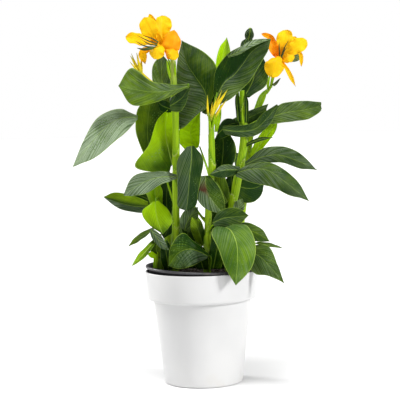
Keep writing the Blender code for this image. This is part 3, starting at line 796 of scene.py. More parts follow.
SKINS = {
    "leaf_deep": leaf_skin("skin_deep", OLD_GREEN, VEIN_GREEN, 0.35),
    "leaf_grey": leaf_skin("skin_grey", OLD_GREEN, VEIN_GREEN, 0.4),
    "leaf_bright": leaf_skin("skin_bright", MIDDLE_GREEN, (0.42, 0.58, 0.09), 0.7),
}
UNDERSIDE = leaf_underside("skin_under", (0.040, 0.110, 0.014), (0.26, 0.42, 0.05), (0.33, 0.45, 0.16))
print("leaf skins:", list(SKINS))

# %% Painting the tone and placing a leaf
BLOOM_AND_SHEEN_SHARE = 0.66
BRIGHTEST_TONE = 1.2
SCORCH_PLACE = 0.32
SCORCH_REACH = 0.26


def paint_tone(mesh, plan):
    """Tone, bloom and scorch at each corner of the mesh, from the leaf's plan."""
    start, left, right, tip = plan["tone"]
    bloom = plan.get("bloom", (0.0, 0.0))
    scorch = plan.get("scorch", (0.0, 0.0))
    layer = mesh.color_attributes.new("tone", "FLOAT_COLOR", "CORNER")
    blade = mesh.uv_layers["blade"].data
    for i, corner in enumerate(layer.data):
        across, share = blade[i].uv
        side = across * 2 - 1
        # The half and tip terms also paint light and shade: a half that faces away from the lamps is set
        # darker, one that catches them lighter.
        tone = start + tip * share ** 2 + (right if side > 0 else left) * min(1.0, abs(side) * 2.5)
        # The grey is partly the leaf's waxy bloom and partly a painted silvery sheen.
        grey = bloom[0 if side < 0 else 1] * BLOOM_AND_SHEEN_SHARE
        burnt = scorch[0 if side < 0 else 1] * max(0.0, 1.0 - abs(share - SCORCH_PLACE) / SCORCH_REACH)
        corner.color = (min(max(tone, 0.0), BRIGHTEST_TONE), grey, burnt, 1.0)


def leaf(name, slot, plan, node=None, rows=BLADE_ROWS, columns=BLADE_COLUMNS):
    mesh = blade_mesh(name, plan, rows, columns)
    paint_tone(mesh, plan)
    piece = place(name, mesh, SKINS.get(slot, SKINS["leaf_bright"]), slot, node)
    mesh.materials.append(UNDERSIDE.material)
    return piece


print("a painted tone runs from 0 to", BRIGHTEST_TONE)

# %% [markdown]
# ## The leaves' plans
# The large leaves are drawn by three lines each, from base to tip: the midrib and the two
# margins, left and right of it with the tip up. A margin line can say everything that makes one
# leaf differ from the next: a wide lobe, a blunt end, an edge that turns to the viewer. Points
# are in millimetres: across, height, and depth from the pot's axis, as they look from the
# front. Small leaves need less, so they are drawn by a route and half widths.
#
# "tone" is (start, left half adds, right half adds, tip adds); the half and tip terms also paint light and
# shade, and a leaf deep in the plant may start below zero as painted shade. "bloom" is how grey each half is,
# partly the leaf's waxy bloom and partly a painted silvery sheen, and "scorch" how brown each half is about a
# third of the way up.

# %% Large leaf plans, upper part of the plant
LARGE = {
    "leaf_bowl": dict(
        rib=[(-14, 557, -30), (-48, 549, -46), (-84, 547, -64), (-120, 553, -82), (-147, 560, -94)],
        left=[(-16, 553, -30), (-46, 541, -50), (-80, 527, -70), (-122, 524, -88), (-147, 560, -94)],
        right=[(-14, 561, -28), (-52, 561, -38), (-82, 566, -54), (-122, 592, -72), (-147, 560, -94)],
        bulge=(0.10, -0.16), tone=(0.12, 0.06, 0.0, 0.16), bloom=(0.15, 0.35), waves=2),
    "leaf_top_centre": dict(
        rib=[(20, 514, -10), (13, 547, 4), (-3, 573, 20), (-19, 600, 38), (-28, 641, 58)],
        left=[(16, 513, -10), (-4, 501, -5), (-37, 477, 6), (-42, 528, 22), (-38, 590, 44), (-27, 641, 58)],
        right=[(24, 522, -8), (36, 558, -4), (37, 590, 8), (16, 617, 32), (-27, 641, 58)],
        bulge=(-0.06, 0.10), tone=(0.03, 0.12, 0.07, 0.0), bloom=(0.42, 0.0)),
    "leaf_top_right": dict(
        rib=[(33, 530, -26), (50, 560, -28), (69, 575, -29), (86, 595, -33), (105, 619, -39),
             (139, 639, -46)],
        left=[(30, 545, -26), (34, 583, -38), (51, 607, -44), (69, 621, -48), (106, 636, -50),
              (139, 639, -46)],
        right=[(40, 520, -24), (67, 534, -22), (93, 558, -23), (112, 584, -28), (131, 616, -38),
               (139, 639, -46)],
        bulge=(-0.20, 0.06), tone=(0.0, -0.15, 0.12, 0.0), bloom=(0.0, 0.45), wave=0.0012),
    "leaf_top_slim": dict(
        rib=[(40, 556, 20), (45, 590, 38), (51, 620, 52), (57, 645, 64)],
        left=[(38, 556, 20), (35, 592, 38), (42, 624, 52), (57, 645, 64)],
        right=[(44, 556, 20), (61, 588, 38), (63, 620, 50), (57, 645, 64)],
        tone=(0.75, 0.2, -0.3, 0.0)),
    "leaf_curled_tip": dict(
        rib=[(88, 535, 22), (104, 565, 36), (110, 598, 52), (103, 627, 64), (98, 643, 68)],
        left=[(82, 538, 22), (82, 572, 36), (92, 604, 52), (95, 630, 64), (96, 643, 68)],
        right=[(96, 532, 22), (129, 556, 30), (130, 590, 46), (113, 626, 62), (102, 644, 68)],
        tone=(0.0, 0.0, 0.04, 0.0), bloom=(0.05, 0.05)),
    "leaf_behind_flower_stem": dict(
        rib=[(-60, 505, 34), (-64, 545, 48), (-66, 580, 66), (-66, 619, 84)],
        left=[(-70, 510, 34), (-81, 550, 48), (-83, 592, 66), (-66, 619, 84)],
        right=[(-48, 505, 34), (-46, 545, 48), (-46, 590, 66), (-66, 619, 84)],
        tone=(0.12, 0.0, 0.0, 0.0), bloom=(0.3, 0.3)),
    "leaf_ribbed_left": dict(
        rib=[(-90, 424, 26), (-95, 462, 24), (-93, 500, 20), (-86, 541, 14)],
        left=[(-97, 424, 26), (-115, 466, 26), (-113, 514, 22), (-86, 541, 14)],
        right=[(-80, 424, 26), (-64, 468, 20), (-62, 512, 16), (-86, 541, 14)],
        tone=(0.14, 0.1, -0.05, 0.05), pleat=0.0008, slant=3.0),
    "leaf_bright_left": dict(
        rib=[(-50, 410, 2), (-56, 437, 0), (-61, 464, 2), (-60, 492, 6), (-52, 518, 9)],
        left=[(-64, 393, -2), (-120, 408, -14), (-93, 449, -6), (-77, 493, 2), (-52, 518, 9)],
        right=[(-47, 410, 2), (-49, 434, 2), (-39, 463, 4), (-38, 496, 6), (-52, 518, 9)],
        bulge=(0.08, 0.05), tone=(0.06, 0.12, 0.06, 2.10), pleat=0.0006, slant=2.8, wave=0.002),
    "leaf_far_left": dict(
        rib=[(-112, 501, 12), (-146, 499, -10), (-176, 480, -36), (-206, 448, -64), (-237, 410, -88)],
        left=[(-113, 497, 12), (-131, 477, -14), (-160, 453, -42), (-195, 427, -68), (-237, 410, -88)],
        right=[(-112, 504, 12), (-146, 516, -2), (-186, 503, -28), (-215, 459, -58), (-237, 410, -88)],
        bulge=(0.08, 0.12), tone=(0.08, 0.0, 0.0, 0.06), bloom=(2.8, 2.6), pleat=0.0008, slant=4.5),
    "leaf_glowing": dict(
        rib=[(-8, 438, 34), (-14, 460, 46), (-12, 484, 56), (5, 509, 64)],
        left=[(-24, 435, 34), (-37, 455, 46), (-31, 482, 56), (5, 509, 64)],
        right=[(0, 442, 34), (3, 466, 46), (4, 492, 56), (5, 509, 64)],
        tone=(1.3, 0.0, 0.0, 0.0), pleat=0.0008, slant=4.0),
}
print("upper leaves planned:", len(LARGE))

# %% Large leaf plans, middle and foot of the plant
LARGE.update({
    "leaf_hanging_centre": dict(
        rib=[(-13, 445, -34), (-14, 420, -42), (-18, 390, -46), (-21, 360, -46), (-24, 336, -45),
             (-26, 323, -44)],
        left=[(-8, 445, -34), (8, 420, -38), (3, 386, -42), (-3, 356, -44), (-8, 332, -44), (-26, 323, -44)],
        right=[(-22, 443, -34), (-41, 418, -40), (-42, 384, -42), (-42, 356, -42), (-42, 332, -43),
               (-26, 323, -44)],
        bulge=(0.10, 0.10), blunt=0.5, tone=(0.0, 0.0, 0.0, 0.0), bloom=(0.05, 0.30), slant=2.6),
    "leaf_left_upper": dict(
        rib=[(-42, 388, -24), (-78, 387, -48), (-110, 376, -76), (-142, 356, -98)],
        left=[(-42, 384, -26), (-74, 373, -54), (-106, 355, -84), (-142, 354, -98)],
        right=[(-42, 392, -22), (-80, 399, -40), (-124, 390, -66), (-143, 357, -98)],
        bulge=(0.08, 0.10), tone=(0.0, 0.0, 0.0, 0.0), bloom=(1.2, 0.9), slant=3.2, pleat=0.0006),
    "leaf_left_folded": dict(
        rib=[(-98, 332, 10), (-128, 335, 24), (-156, 343, 38), (-181, 353, 50)],
        left=[(-98, 320, 8), (-126, 323, 18), (-156, 332, 32), (-181, 353, 50)],
        right=[(-96, 342, 10), (-126, 354, 22), (-158, 361, 36), (-181, 353, 50)],
        tone=(0.02, 0.0, 0.42, 0.0), bloom=(0.85, 0.0), slant=3.0),
    "leaf_left_light": dict(
        rib=[(-84, 342, -18), (-83, 322, -26), (-79, 302, -32), (-71, 280, -36)],
        left=[(-78, 343, -18), (-60, 326, -24), (-53, 303, -32), (-71, 280, -36)],
        right=[(-90, 342, -18), (-109, 322, -22), (-97, 299, -30), (-71, 280, -36)],
        bulge=(0.05, 0.10), tone=(0.85, 0.0, -0.05, -0.75)),
    "leaf_over_soil": dict(
        rib=[(13, 237, -62), (-6, 247, -70), (-24, 251, -76), (-44, 243, -82), (-62, 220, -86)],
        left=[(12, 233, -62), (-4, 225, -72), (-20, 218, -80), (-42, 214, -84), (-62, 220, -86)],
        right=[(14, 241, -60), (-4, 258, -64), (-34, 281, -66), (-57, 256, -78), (-62, 220, -86)],
        bulge=(0.08, 0.10), tone=(0.0, 0.0, 0.0, 0.16), bloom=(0.30, 0.0), pleat=0.0010, wave=0.0024,
        waves=4),
    "leaf_over_rim": dict(
        rib=[(44, 292, -54), (57, 284, -86), (67, 260, -106), (68, 228, -114), (64, 180, -114)],
        left=[(56, 297, -54), (90, 288, -80), (103, 254, -96), (94, 212, -108), (64, 180, -114)],
        right=[(32, 292, -54), (20, 281, -80), (33, 249, -100), (46, 212, -110), (64, 180, -114)],
        bulge=(0.08, 0.08), tone=(0.13, 0.04, 0.0, 0.06), bloom=(0.40, 0.25), pleat=0.0007),
    "leaf_right_low": dict(
        rib=[(88, 244, -50), (110, 234, -60), (132, 211, -72), (155, 182, -84)],
        left=[(92, 256, -48), (127, 253, -52), (144, 216, -68), (155, 182, -84)],
        right=[(84, 228, -52), (99, 203, -64), (128, 196, -76), (155, 182, -84)],
        bulge=(0.08, 0.08), tone=(0.10, 0.0, 0.04, 0.1), bloom=(0.25, 0.35), pleat=0.0006),
    "leaf_right_low_back": dict(
        rib=[(56, 288, -36), (84, 286, -42), (108, 277, -46), (130, 262, -50)],
        left=[(56, 296, -36), (86, 299, -36), (114, 287, -42), (130, 262, -50)],
        right=[(58, 276, -38), (82, 266, -48), (106, 262, -52), (130, 262, -50)],
        tone=(0.10, 0.0, -0.1, 0.1), bloom=(0.3, 0.1), pleat=0.0004),
    "leaf_centre_low": dict(
        rib=[(22, 299, -50), (44, 308, -56), (66, 310, -60), (91, 312, -62)],
        left=[(24, 306, -48), (40, 324, -50), (70, 326, -54), (91, 312, -62)],
        right=[(28, 290, -52), (46, 287, -60), (70, 292, -64), (91, 312, -62)],
        bulge=(0.06, 0.08), tone=(0.06, 0.0, 0.0, 0.1), bloom=(0.1, 0.25)),
    "leaf_streaked": dict(
        rib=[(12, 389, -38), (12, 362, -42), (24, 340, -46), (47, 313, -48)],
        left=[(20, 388, -38), (37, 366, -40), (46, 342, -44), (47, 313, -48)],
        right=[(3, 388, -38), (-8, 356, -42), (8, 328, -46), (47, 313, -48)],
        scorch=(0.0, 1.0), tone=(0.06, 0.0, 0.0, 0.05), bloom=(0.05, 0.55), pleat=0.0007),
    "leaf_centre_left_tip": dict(
        rib=[(76, 398, -12), (46, 398, -36), (18, 390, -46)],
        left=[(74, 391, -14), (44, 383, -36), (18, 390, -46)],
        right=[(76, 404, -10), (46, 408, -34), (18, 390, -46)],
        tone=(0.03, 0.0, 0.0, 0.0), bloom=(0.05, 0.45)),
})
print("leaves planned so far:", len(LARGE))

# %% Large leaf plans, right-hand side
LARGE.update({
    "leaf_right_middle": dict(
        rib=[(68, 392, -14), (98, 399, -38), (130, 395, -64), (166, 369, -92), (205, 336, -118)],
        left=[(70, 399, -12), (100, 409, -34), (140, 408, -56), (182, 376, -84), (205, 336, -118)],
        right=[(68, 386, -16), (96, 374, -44), (128, 366, -72), (166, 350, -98), (205, 336, -118)],
        bulge=(0.08, 0.10), tone=(0.06, 0.02, 0.0, 0.0), bloom=(0.35, 0.45)),
    "leaf_right_arching": dict(
        rib=[(86, 408, -4), (118, 421, -22), (150, 424, -40), (185, 412, -60), (221, 394, -76)],
        left=[(86, 413, -2), (116, 435, -18), (160, 440, -34), (194, 422, -54), (221, 394, -76)],
        right=[(88, 404, -6), (120, 410, -28), (152, 410, -48), (185, 399, -64), (221, 394, -76)],
        tone=(0.06, 0.0, 0.0, 0.0), bloom=(0.5, 0.4)),
    "leaf_right_upper": dict(
        rib=[(126, 491, 8), (160, 502, 24), (198, 507, 40), (230, 514, 56)],
        left=[(124, 501, 6), (158, 520, 20), (197, 524, 38), (230, 521, 54)],
        right=[(128, 481, 10), (164, 485, 28), (206, 490, 42), (230, 505, 56)],
        bulge=(0.05, 0.08), tone=(0.12, 0.0, 0.06, 0.0), bloom=(0.45, 0.45), waves=4),
    "leaf_right_trough": dict(
        rib=[(44, 474, -8), (74, 470, -12), (104, 473, -6), (126, 490, 2), (149, 517, 10)],
        left=[(46, 481, -6), (76, 481, -10), (104, 486, -4), (122, 503, 4), (148, 519, 10)],
        right=[(50, 465, -8), (78, 459, -12), (108, 462, -8), (134, 482, 2), (151, 516, 10)],
        bulge=(-0.1, 0.1), tone=(0.03, 0.0, 0.0, 0.0), bloom=(0.15, 0.35)),
    "leaf_right_far_side": dict(
        rib=[(42, 474, 24), (70, 484, 26), (100, 497, 25), (128, 510, 22)],
        left=[(40, 480, 24), (70, 496, 24), (101, 510, 23), (132, 520, 20)],
        right=[(44, 468, 24), (74, 473, 28), (104, 482, 27), (130, 498, 22)],
        tone=(0.05, 0.0, 0.0, 0.0), bloom=(0.3, 0.1)),
    "leaf_dark_upright": dict(
        rib=[(48, 398, 30), (50, 424, 46), (50, 448, 58), (46, 474, 68)],
        left=[(42, 398, 30), (32, 424, 46), (34, 452, 58), (46, 474, 68)],
        right=[(56, 398, 30), (70, 424, 46), (66, 452, 58), (46, 474, 68)],
        tone=(0.04, 0.0, 0.0, 0.0)),
    "leaf_dark_right": dict(
        rib=[(70, 368, 22), (88, 363, 28), (106, 364, 38), (122, 373, 48)],
        left=[(70, 376, 22), (90, 384, 26), (110, 384, 36), (122, 373, 48)],
        right=[(66, 352, 22), (84, 336, 30), (112, 344, 40), (122, 373, 48)],
        tone=(0.02, 0.0, 0.0, 0.0)),
})
for plan in LARGE.values():
    plan["route"] = [seen(*point) for point in plan["rib"]]
    plan["edges"] = [[seen(*point) for point in plan[side]] for side in ("left", "right")]
print("large leaves planned:", len(LARGE))

# %% Small leaf plans
SMALL = {
    "leaf_left_slim_upper": dict(
        route=[(-0.088, -0.002, 0.291), (-0.113, 0.014, 0.275), (-0.137, 0.03, 0.256)],
        looks=[(0.0, -0.9, 0.4)], halves=(0.006, 0.006), folds=(15, 15), widest=0.5, blunt=0.9, base=0.5,
        tone=(0.18, 0.0, 0.1, 0.0), bloom=(0.3, 0.2)),
    "leaf_left_slim_lower": dict(
        route=[(-0.082, -0.026, 0.274), (-0.1055, -0.048, 0.25), (-0.1275, -0.068, 0.229)],
        looks=[(0.0, -0.9, 0.4)], halves=(0.007, 0.007), folds=(15, 15), widest=0.5, blunt=0.9, base=0.5,
        tone=(0.20, 0.0, 0.15, 0.2)),
    "leaf_right_low_slim": dict(
        route=[(0.104, -0.024, 0.262), (0.126, -0.032, 0.259), (0.150, -0.040, 0.254)],
        looks=[(0.0, -0.8, 0.6)], halves=(0.005, 0.005), folds=(10, 10), widest=0.45, blunt=1.0, base=0.5,
        tone=(0.2, 0.0, 0.0, 0.0), bloom=(0.3, 0.3)),
    "leaf_young_centre": dict(
        route=[(0.003, -0.002, 0.276), (-0.004, 0.000, 0.297), (-0.012, 0.002, 0.317)],
        looks=[(0.0, -1.0, 0.1)], halves=(0.009, 0.008), folds=(10, 10), widest=0.5, blunt=0.9, base=0.5,
        tone=(0.55, 0.0, 0.2, 0.0)),
    "leaf_back_middle": dict(
        route=[(-0.016, 0.024, 0.345), (-0.016, 0.062, 0.393), (-0.016, 0.106, 0.408),
               (-0.016, 0.152, 0.384)],
        looks=[(0.0, -0.6, 0.8), (0.0, 0.2, 1.0)], halves=(0.020, 0.020), folds=(12, 12), widest=0.45,
        blunt=0.8, base=0.2,
        tone=(0.15, 0.0, 0.0, 0.0), bloom=(0.2, 0.2)),
    "leaf_back_low": dict(
        route=[(0.028, 0.040, 0.246), (0.030, 0.084, 0.284), (0.030, 0.124, 0.276), (0.028, 0.156, 0.238)],
        looks=[(0.0, -0.6, 0.8), (0.0, 0.3, 1.0), (0.0, 0.9, 0.5)], halves=(0.021, 0.021), folds=(10, 10),
        widest=0.45, blunt=0.8, base=0.2,
        tone=(0.2, 0.0, 0.0, 0.0), bloom=(0.3, 0.3)),
    "sheath_right": dict(
        route=[(0.100, 0.036, 0.418), (0.120, 0.036, 0.448), (0.138, 0.038, 0.470), (0.149, 0.040, 0.486)],
        looks=[(0.0, -1.0, 0.1)], halves=(0.012, 0.010), folds=(15, 15), widest=0.45, blunt=0.6, base=0.6,
        tone=(0.6, 0.0, 0.2, 0.0)),
}

print("small leaves planned:", len(SMALL))

# %% [markdown]
# ## The leaves in the shade
# A full plant has many more leaves than the ones that catch the eye: old ones low down, leaf
# bases, folds and slivers between the stems, and plain ones on the far side. They keep daylight
# from showing through the middle of the plant and give the front leaves a dark ground. They are
# planned like the others, some by three lines and some by a route, but no plain piece of the
# frame stands for them, and they get by with a coarser grid.

# %% Shaded leaves, left and top
SHADED_ROWS = 26
SHADED_COLUMNS = 7
# A tone below zero paints a leaf deep between the stems darker than old skin, as painted shade.
SHADED = {
    "behind_spikes": dict(
        rib=[(14, 503, 10), (20, 522, 12), (27, 545, 14), (33, 565, 16)],
        left=[(8, 506, 10), (4, 525, 12), (12, 550, 14), (33, 565, 16)],
        right=[(24, 503, 10), (37, 518, 12), (43, 542, 14), (33, 565, 16)], tone=(0.0, 0.0, 0.0, 0.0)),
    "top_right_fold": dict(
        rib=[(58, 609, -46), (78, 618, -52), (106, 633, -55), (138, 640, -49)],
        left=[(57, 611, -45), (77, 624, -50), (104, 639, -53), (138, 641, -49)],
        right=[(59, 607, -46), (80, 613, -53), (108, 628, -56), (138, 639, -49)],
        tone=(0.08, 0.0, 0.0, 0.0), bloom=(1.4, 1.4)),
    "bowl_far_half": dict(
        rib=[(-40, 518, 2), (-32, 532, 4), (-12, 557, 6)],
        left=[(-48, 520, 2), (-46, 543, 4), (-12, 557, 6)],
        right=[(-34, 516, 2), (-22, 530, 4), (-12, 557, 6)],
        tone=(0.06, 0.0, 0.0, 0.0)),
    "behind_flower": dict(
        rib=[(160, 602, 44), (182, 606, 44), (199, 606, 44)],
        left=[(160, 608, 44), (184, 616, 44), (199, 606, 44)],
        right=[(160, 598, 44), (184, 597, 44), (199, 606, 44)],
        tone=(0.15, 0.0, 0.0, 0.0), bloom=(0.8, 0.8)),
    "cane_sheath_left": dict(
        rib=[(-78, 320, 26), (-82, 345, 20), (-84, 362, 16), (-82, 384, 14)],
        left=[(-86, 320, 26), (-96, 345, 20), (-100, 364, 16), (-82, 384, 14)],
        right=[(-70, 320, 26), (-70, 345, 20), (-70, 364, 16), (-82, 384, 14)],
        bulge=(0.3, 0.3), tone=(0.50, 0.1, 0.0, 0.2), pleat=0.0005),
    "dark_left_a": dict(
        rib=[(-58, 290, 20), (-62, 326, 24), (-62, 356, 24), (-56, 398, 20)],
        left=[(-66, 290, 20), (-78, 326, 26), (-78, 360, 26), (-56, 398, 20)],
        right=[(-50, 290, 20), (-46, 326, 22), (-46, 360, 22), (-56, 398, 20)], tone=(-0.1, 0.0, 0.0, 0.0)),
    "dark_left_b": dict(
        rib=[(-74, 330, 44), (-96, 346, 48), (-116, 356, 50), (-132, 370, 52)],
        left=[(-74, 316, 44), (-100, 330, 48), (-120, 344, 50), (-132, 370, 52)],
        right=[(-74, 346, 44), (-96, 368, 48), (-114, 376, 50), (-132, 370, 52)], tone=(0.02, 0.0, 0.0, 0.0)),
    "dark_left_c": dict(
        rib=[(-56, 304, 4), (-62, 288, -2), (-70, 272, -8)],
        left=[(-48, 306, 4), (-50, 286, -2), (-70, 272, -8)],
        right=[(-64, 306, 4), (-76, 290, -2), (-70, 272, -8)],
        tone=(0.0, 0.0, 0.0, 0.0), bloom=(0.1, 0.1)),
    "grey_left": dict(
        rib=[(-94, 290, -34), (-84, 276, -38), (-72, 259, -40), (-60, 250, -38)],
        left=[(-90, 292, -34), (-76, 280, -38), (-66, 264, -40), (-60, 250, -38)],
        right=[(-96, 286, -34), (-90, 270, -38), (-76, 254, -40), (-60, 250, -38)],
        tone=(0.05, 0.0, 0.0, 0.0), bloom=(0.8, 0.5)),
    "dark_low_left": dict(
        rib=[(-80, 236, -24), (-84, 252, -30), (-82, 266, -32), (-74, 282, -30)],
        left=[(-90, 236, -24), (-96, 252, -30), (-92, 268, -32), (-74, 282, -30)],
        right=[(-70, 236, -24), (-72, 252, -28), (-72, 266, -30), (-74, 282, -30)],
        tone=(0.10, 0.0, 0.1, 0.0)),
    "yellow_low_left": dict(
        rib=[(-84, 238, -30), (-92, 241, -36), (-101, 243, -40)],
        left=[(-84, 234, -30), (-94, 236, -36), (-101, 243, -40)],
        right=[(-84, 243, -30), (-93, 248, -36), (-101, 243, -40)],
        tone=(0.95, 0.0, 0.0, 0.1)),
}
print("shaded leaves, left and top:", len(SHADED))

# %% [markdown]
# ### Shade between the stems
# Between the stems one looks onto more leaves and leaf bases, one behind the other. They stand
# a little deeper than the front leaves, so that the front leaves throw their shadows on them.

# %% Shaded leaves, between the stems
SHADED.update({
    "centre_low_a": dict(
        rib=[(-24, 214, -14), (-26, 250, -20), (-24, 282, -22), (-18, 312, -20)],
        left=[(-36, 214, -14), (-42, 252, -18), (-38, 290, -20), (-18, 312, -20)],
        right=[(-10, 214, -14), (-8, 250, -20), (-8, 284, -22), (-18, 312, -20)],
        tone=(-0.05, 0.0, 0.0, 0.0)),
    "centre_low_b": dict(
        rib=[(-30, 286, -26), (-26, 300, -30), (-16, 316, -30), (-4, 330, -28)],
        left=[(-38, 292, -26), (-38, 310, -28), (-26, 326, -28), (-4, 330, -28)],
        right=[(-20, 282, -26), (-14, 296, -30), (-4, 310, -30), (-4, 330, -28)],
        tone=(0.12, 0.0, 0.0, 0.0), bloom=(0.4, 0.2)),
    "centre_low_c": dict(
        rib=[(4, 256, -20), (-2, 278, -30), (-8, 296, -34), (-16, 312, -34)],
        left=[(-4, 256, -20), (-16, 280, -30), (-19, 298, -34), (-16, 312, -34)],
        right=[(10, 256, -20), (8, 280, -30), (2, 300, -34), (-16, 312, -34)], tone=(0.20, 0.0, -0.15, 0.2)),
    "centre_low_d": dict(
        rib=[(4, 212, -34), (-2, 232, -44), (-8, 248, -50), (-10, 266, -52)],
        left=[(-8, 212, -34), (-18, 234, -44), (-20, 252, -50), (-10, 266, -52)],
        right=[(14, 212, -34), (14, 234, -44), (6, 252, -50), (-10, 266, -52)], tone=(-0.05, 0.0, 0.0, 0.0)),
    "right_low_a": dict(
        rib=[(22, 212, -30), (28, 240, -42), (32, 262, -48), (30, 290, -46)],
        left=[(10, 212, -30), (14, 240, -42), (20, 266, -48), (30, 290, -46)],
        right=[(36, 212, -30), (46, 240, -40), (46, 266, -44), (30, 290, -46)], tone=(-0.02, 0.0, 0.04, 0.0)),
    "right_low_b": dict(
        rib=[(44, 212, -10), (52, 240, -20), (56, 266, -24), (54, 292, -22)],
        left=[(32, 212, -10), (38, 240, -20), (42, 270, -24), (54, 292, -22)],
        right=[(60, 212, -10), (70, 240, -18), (70, 268, -20), (54, 292, -22)], tone=(0.0, 0.0, 0.0, 0.0)),
    "middle_dark_a": dict(
        rib=[(30, 262, 10), (32, 300, 14), (34, 345, 16), (34, 398, 18)],
        left=[(18, 262, 10), (16, 300, 14), (18, 350, 16), (34, 398, 18)],
        right=[(44, 262, 10), (54, 300, 14), (54, 350, 16), (34, 398, 18)], tone=(-0.05, 0.0, 0.0, 0.0)),
    "middle_dark_b": dict(
        rib=[(40, 392, 26), (44, 420, 30), (46, 446, 34), (44, 484, 38)],
        left=[(30, 392, 26), (26, 420, 30), (28, 450, 34), (44, 484, 38)],
        right=[(54, 392, 26), (68, 420, 28), (66, 452, 32), (44, 484, 38)],
        bulge=(0.1, 0.1), tone=(0.0, 0.05, 0.0, 0.0), pleat=0.0005),
    "middle_dark_c": dict(
        rib=[(66, 378, 34), (82, 396, 40), (96, 412, 44), (108, 424, 46)],
        left=[(58, 384, 34), (72, 408, 40), (92, 424, 44), (108, 424, 46)],
        right=[(74, 370, 34), (96, 386, 40), (108, 404, 44), (108, 424, 46)], tone=(0.0, 0.0, 0.0, 0.0)),
    "middle_midrib": dict(
        rib=[(52, 338, -14), (43, 356, -20), (34, 374, -24), (26, 392, -26)],
        left=[(48, 334, -14), (30, 350, -20), (22, 372, -24), (26, 392, -26)],
        right=[(56, 344, -14), (54, 364, -18), (46, 384, -22), (26, 392, -26)],
        bulge=(0.08, 0.08), tone=(0.16, 0.0, 0.04, 0.0), bloom=(0.1, 0.0)),
    "middle_pale": dict(
        rib=[(64, 316, -4), (72, 328, -8), (80, 344, -10)],
        left=[(60, 320, -4), (66, 338, -8), (80, 344, -10)],
        right=[(68, 312, -4), (84, 326, -8), (80, 344, -10)],
        tone=(0.3, 0.0, 0.0, 0.0), bloom=(1.0, 1.0)),
    "middle_under_trough": dict(
        rib=[(36, 466, 12), (50, 478, 12), (62, 484, 12), (76, 486, 12)],
        left=[(34, 474, 12), (48, 492, 12), (62, 494, 12), (76, 486, 12)],
        right=[(40, 456, 12), (56, 462, 12), (68, 470, 12), (76, 486, 12)], tone=(-0.05, 0.0, 0.0, 0.0),
        bloom=(0.1, 0.0)),
    "sliver_right": dict(
        rib=[(90, 445, -2), (114, 454, -6), (141, 457, -8)],
        left=[(90, 448, -2), (114, 458, -6), (141, 457, -8)],
        right=[(90, 441, -2), (114, 450, -6), (141, 457, -8)],
        tone=(0.05, 0.0, 0.0, 0.0), bloom=(0.1, 0.1)),
    "under_bud": dict(
        rib=[(33, 470, -16), (38, 496, -14), (44, 524, -12)],
        left=[(30, 470, -16), (33, 498, -14), (44, 524, -12)],
        right=[(36, 470, -16), (43, 496, -14), (44, 524, -12)],
        tone=(0.85, 0.0, 0.0, 0.0)),
    "cane_sheath_far_right": dict(
        rib=[(103, 492, 38), (112, 513, 36), (121, 532, 34), (131, 549, 30)],
        left=[(99, 496, 38), (107, 517, 36), (116, 537, 34), (131, 549, 30)],
        right=[(108, 490, 38), (117, 510, 36), (126, 529, 34), (131, 549, 30)],
        tone=(0.70, 0.1, 0.0, 0.0), bloom=(0.7, 0.2)),
    "cane_sheath_right_a": dict(
        rib=[(75, 488, 0), (74, 512, 0), (73, 530, 2), (76, 549, 4)],
        left=[(72, 488, 0), (70, 512, 0), (70, 532, 2), (76, 549, 4)],
        right=[(80, 488, -2), (79, 512, -2), (78, 532, 0), (76, 549, 4)], tone=(0.0, 0.0, 0.0, 0.0)),
    "cane_sheath_right_b": dict(
        rib=[(90, 486, 0), (91, 506, 0), (91, 524, 2), (88, 546, 4)],
        left=[(87, 486, -2), (87, 508, -2), (87, 526, 0), (88, 546, 4)],
        right=[(94, 486, 0), (95, 508, 0), (94, 526, 2), (88, 546, 4)], tone=(0.0, 0.0, 0.0, 0.0)),
    "middle_dark_d": dict(
        rib=[(60, 300, 26), (60, 330, 30), (60, 360, 32), (60, 400, 32)],
        left=[(48, 300, 26), (42, 330, 30), (44, 366, 32), (60, 400, 32)],
        right=[(74, 300, 26), (80, 330, 30), (78, 366, 32), (60, 400, 32)], tone=(-0.05, 0.0, 0.0, 0.0)),
    "base_dark_a": dict(
        rib=[(-62, 212, -20), (-64, 232, -30), (-66, 250, -34), (-64, 270, -34)],
        left=[(-70, 212, -20), (-76, 232, -30), (-76, 252, -34), (-64, 270, -34)],
        right=[(-54, 212, -20), (-53, 232, -30), (-55, 252, -34), (-64, 270, -34)],
        tone=(0.0, 0.0, 0.0, 0.0)),
    "base_dark_b": dict(
        rib=[(-44, 212, -34), (-42, 238, -38), (-40, 262, -40), (-36, 292, -40)],
        left=[(-50, 212, -34), (-51, 238, -38), (-50, 262, -40), (-36, 292, -40)],
        right=[(-38, 212, -34), (-33, 238, -38), (-31, 262, -40), (-36, 292, -40)],
        tone=(0.05, 0.0, 0.0, 0.0),
        bloom=(0.1, 0.3)),
    "base_shoot_edge": dict(
        rib=[(-88, 214, -22), (-86, 230, -24), (-84, 246, -26), (-80, 262, -26)],
        left=[(-91, 214, -22), (-90, 230, -24), (-88, 248, -26), (-80, 262, -26)],
        right=[(-84, 214, -24), (-82, 230, -26), (-80, 248, -28), (-80, 262, -26)],
        tone=(0.55, 0.1, 0.0, 0.0)),
})
print("shaded leaves so far:", len(SHADED))

# %% [markdown]
# ### The far side
# Plain arching leaves close the back of the plant. Each is drawn by a route that leaves the
# stems, rises and bows outwards. The last three pieces fill gaps that show from the front.

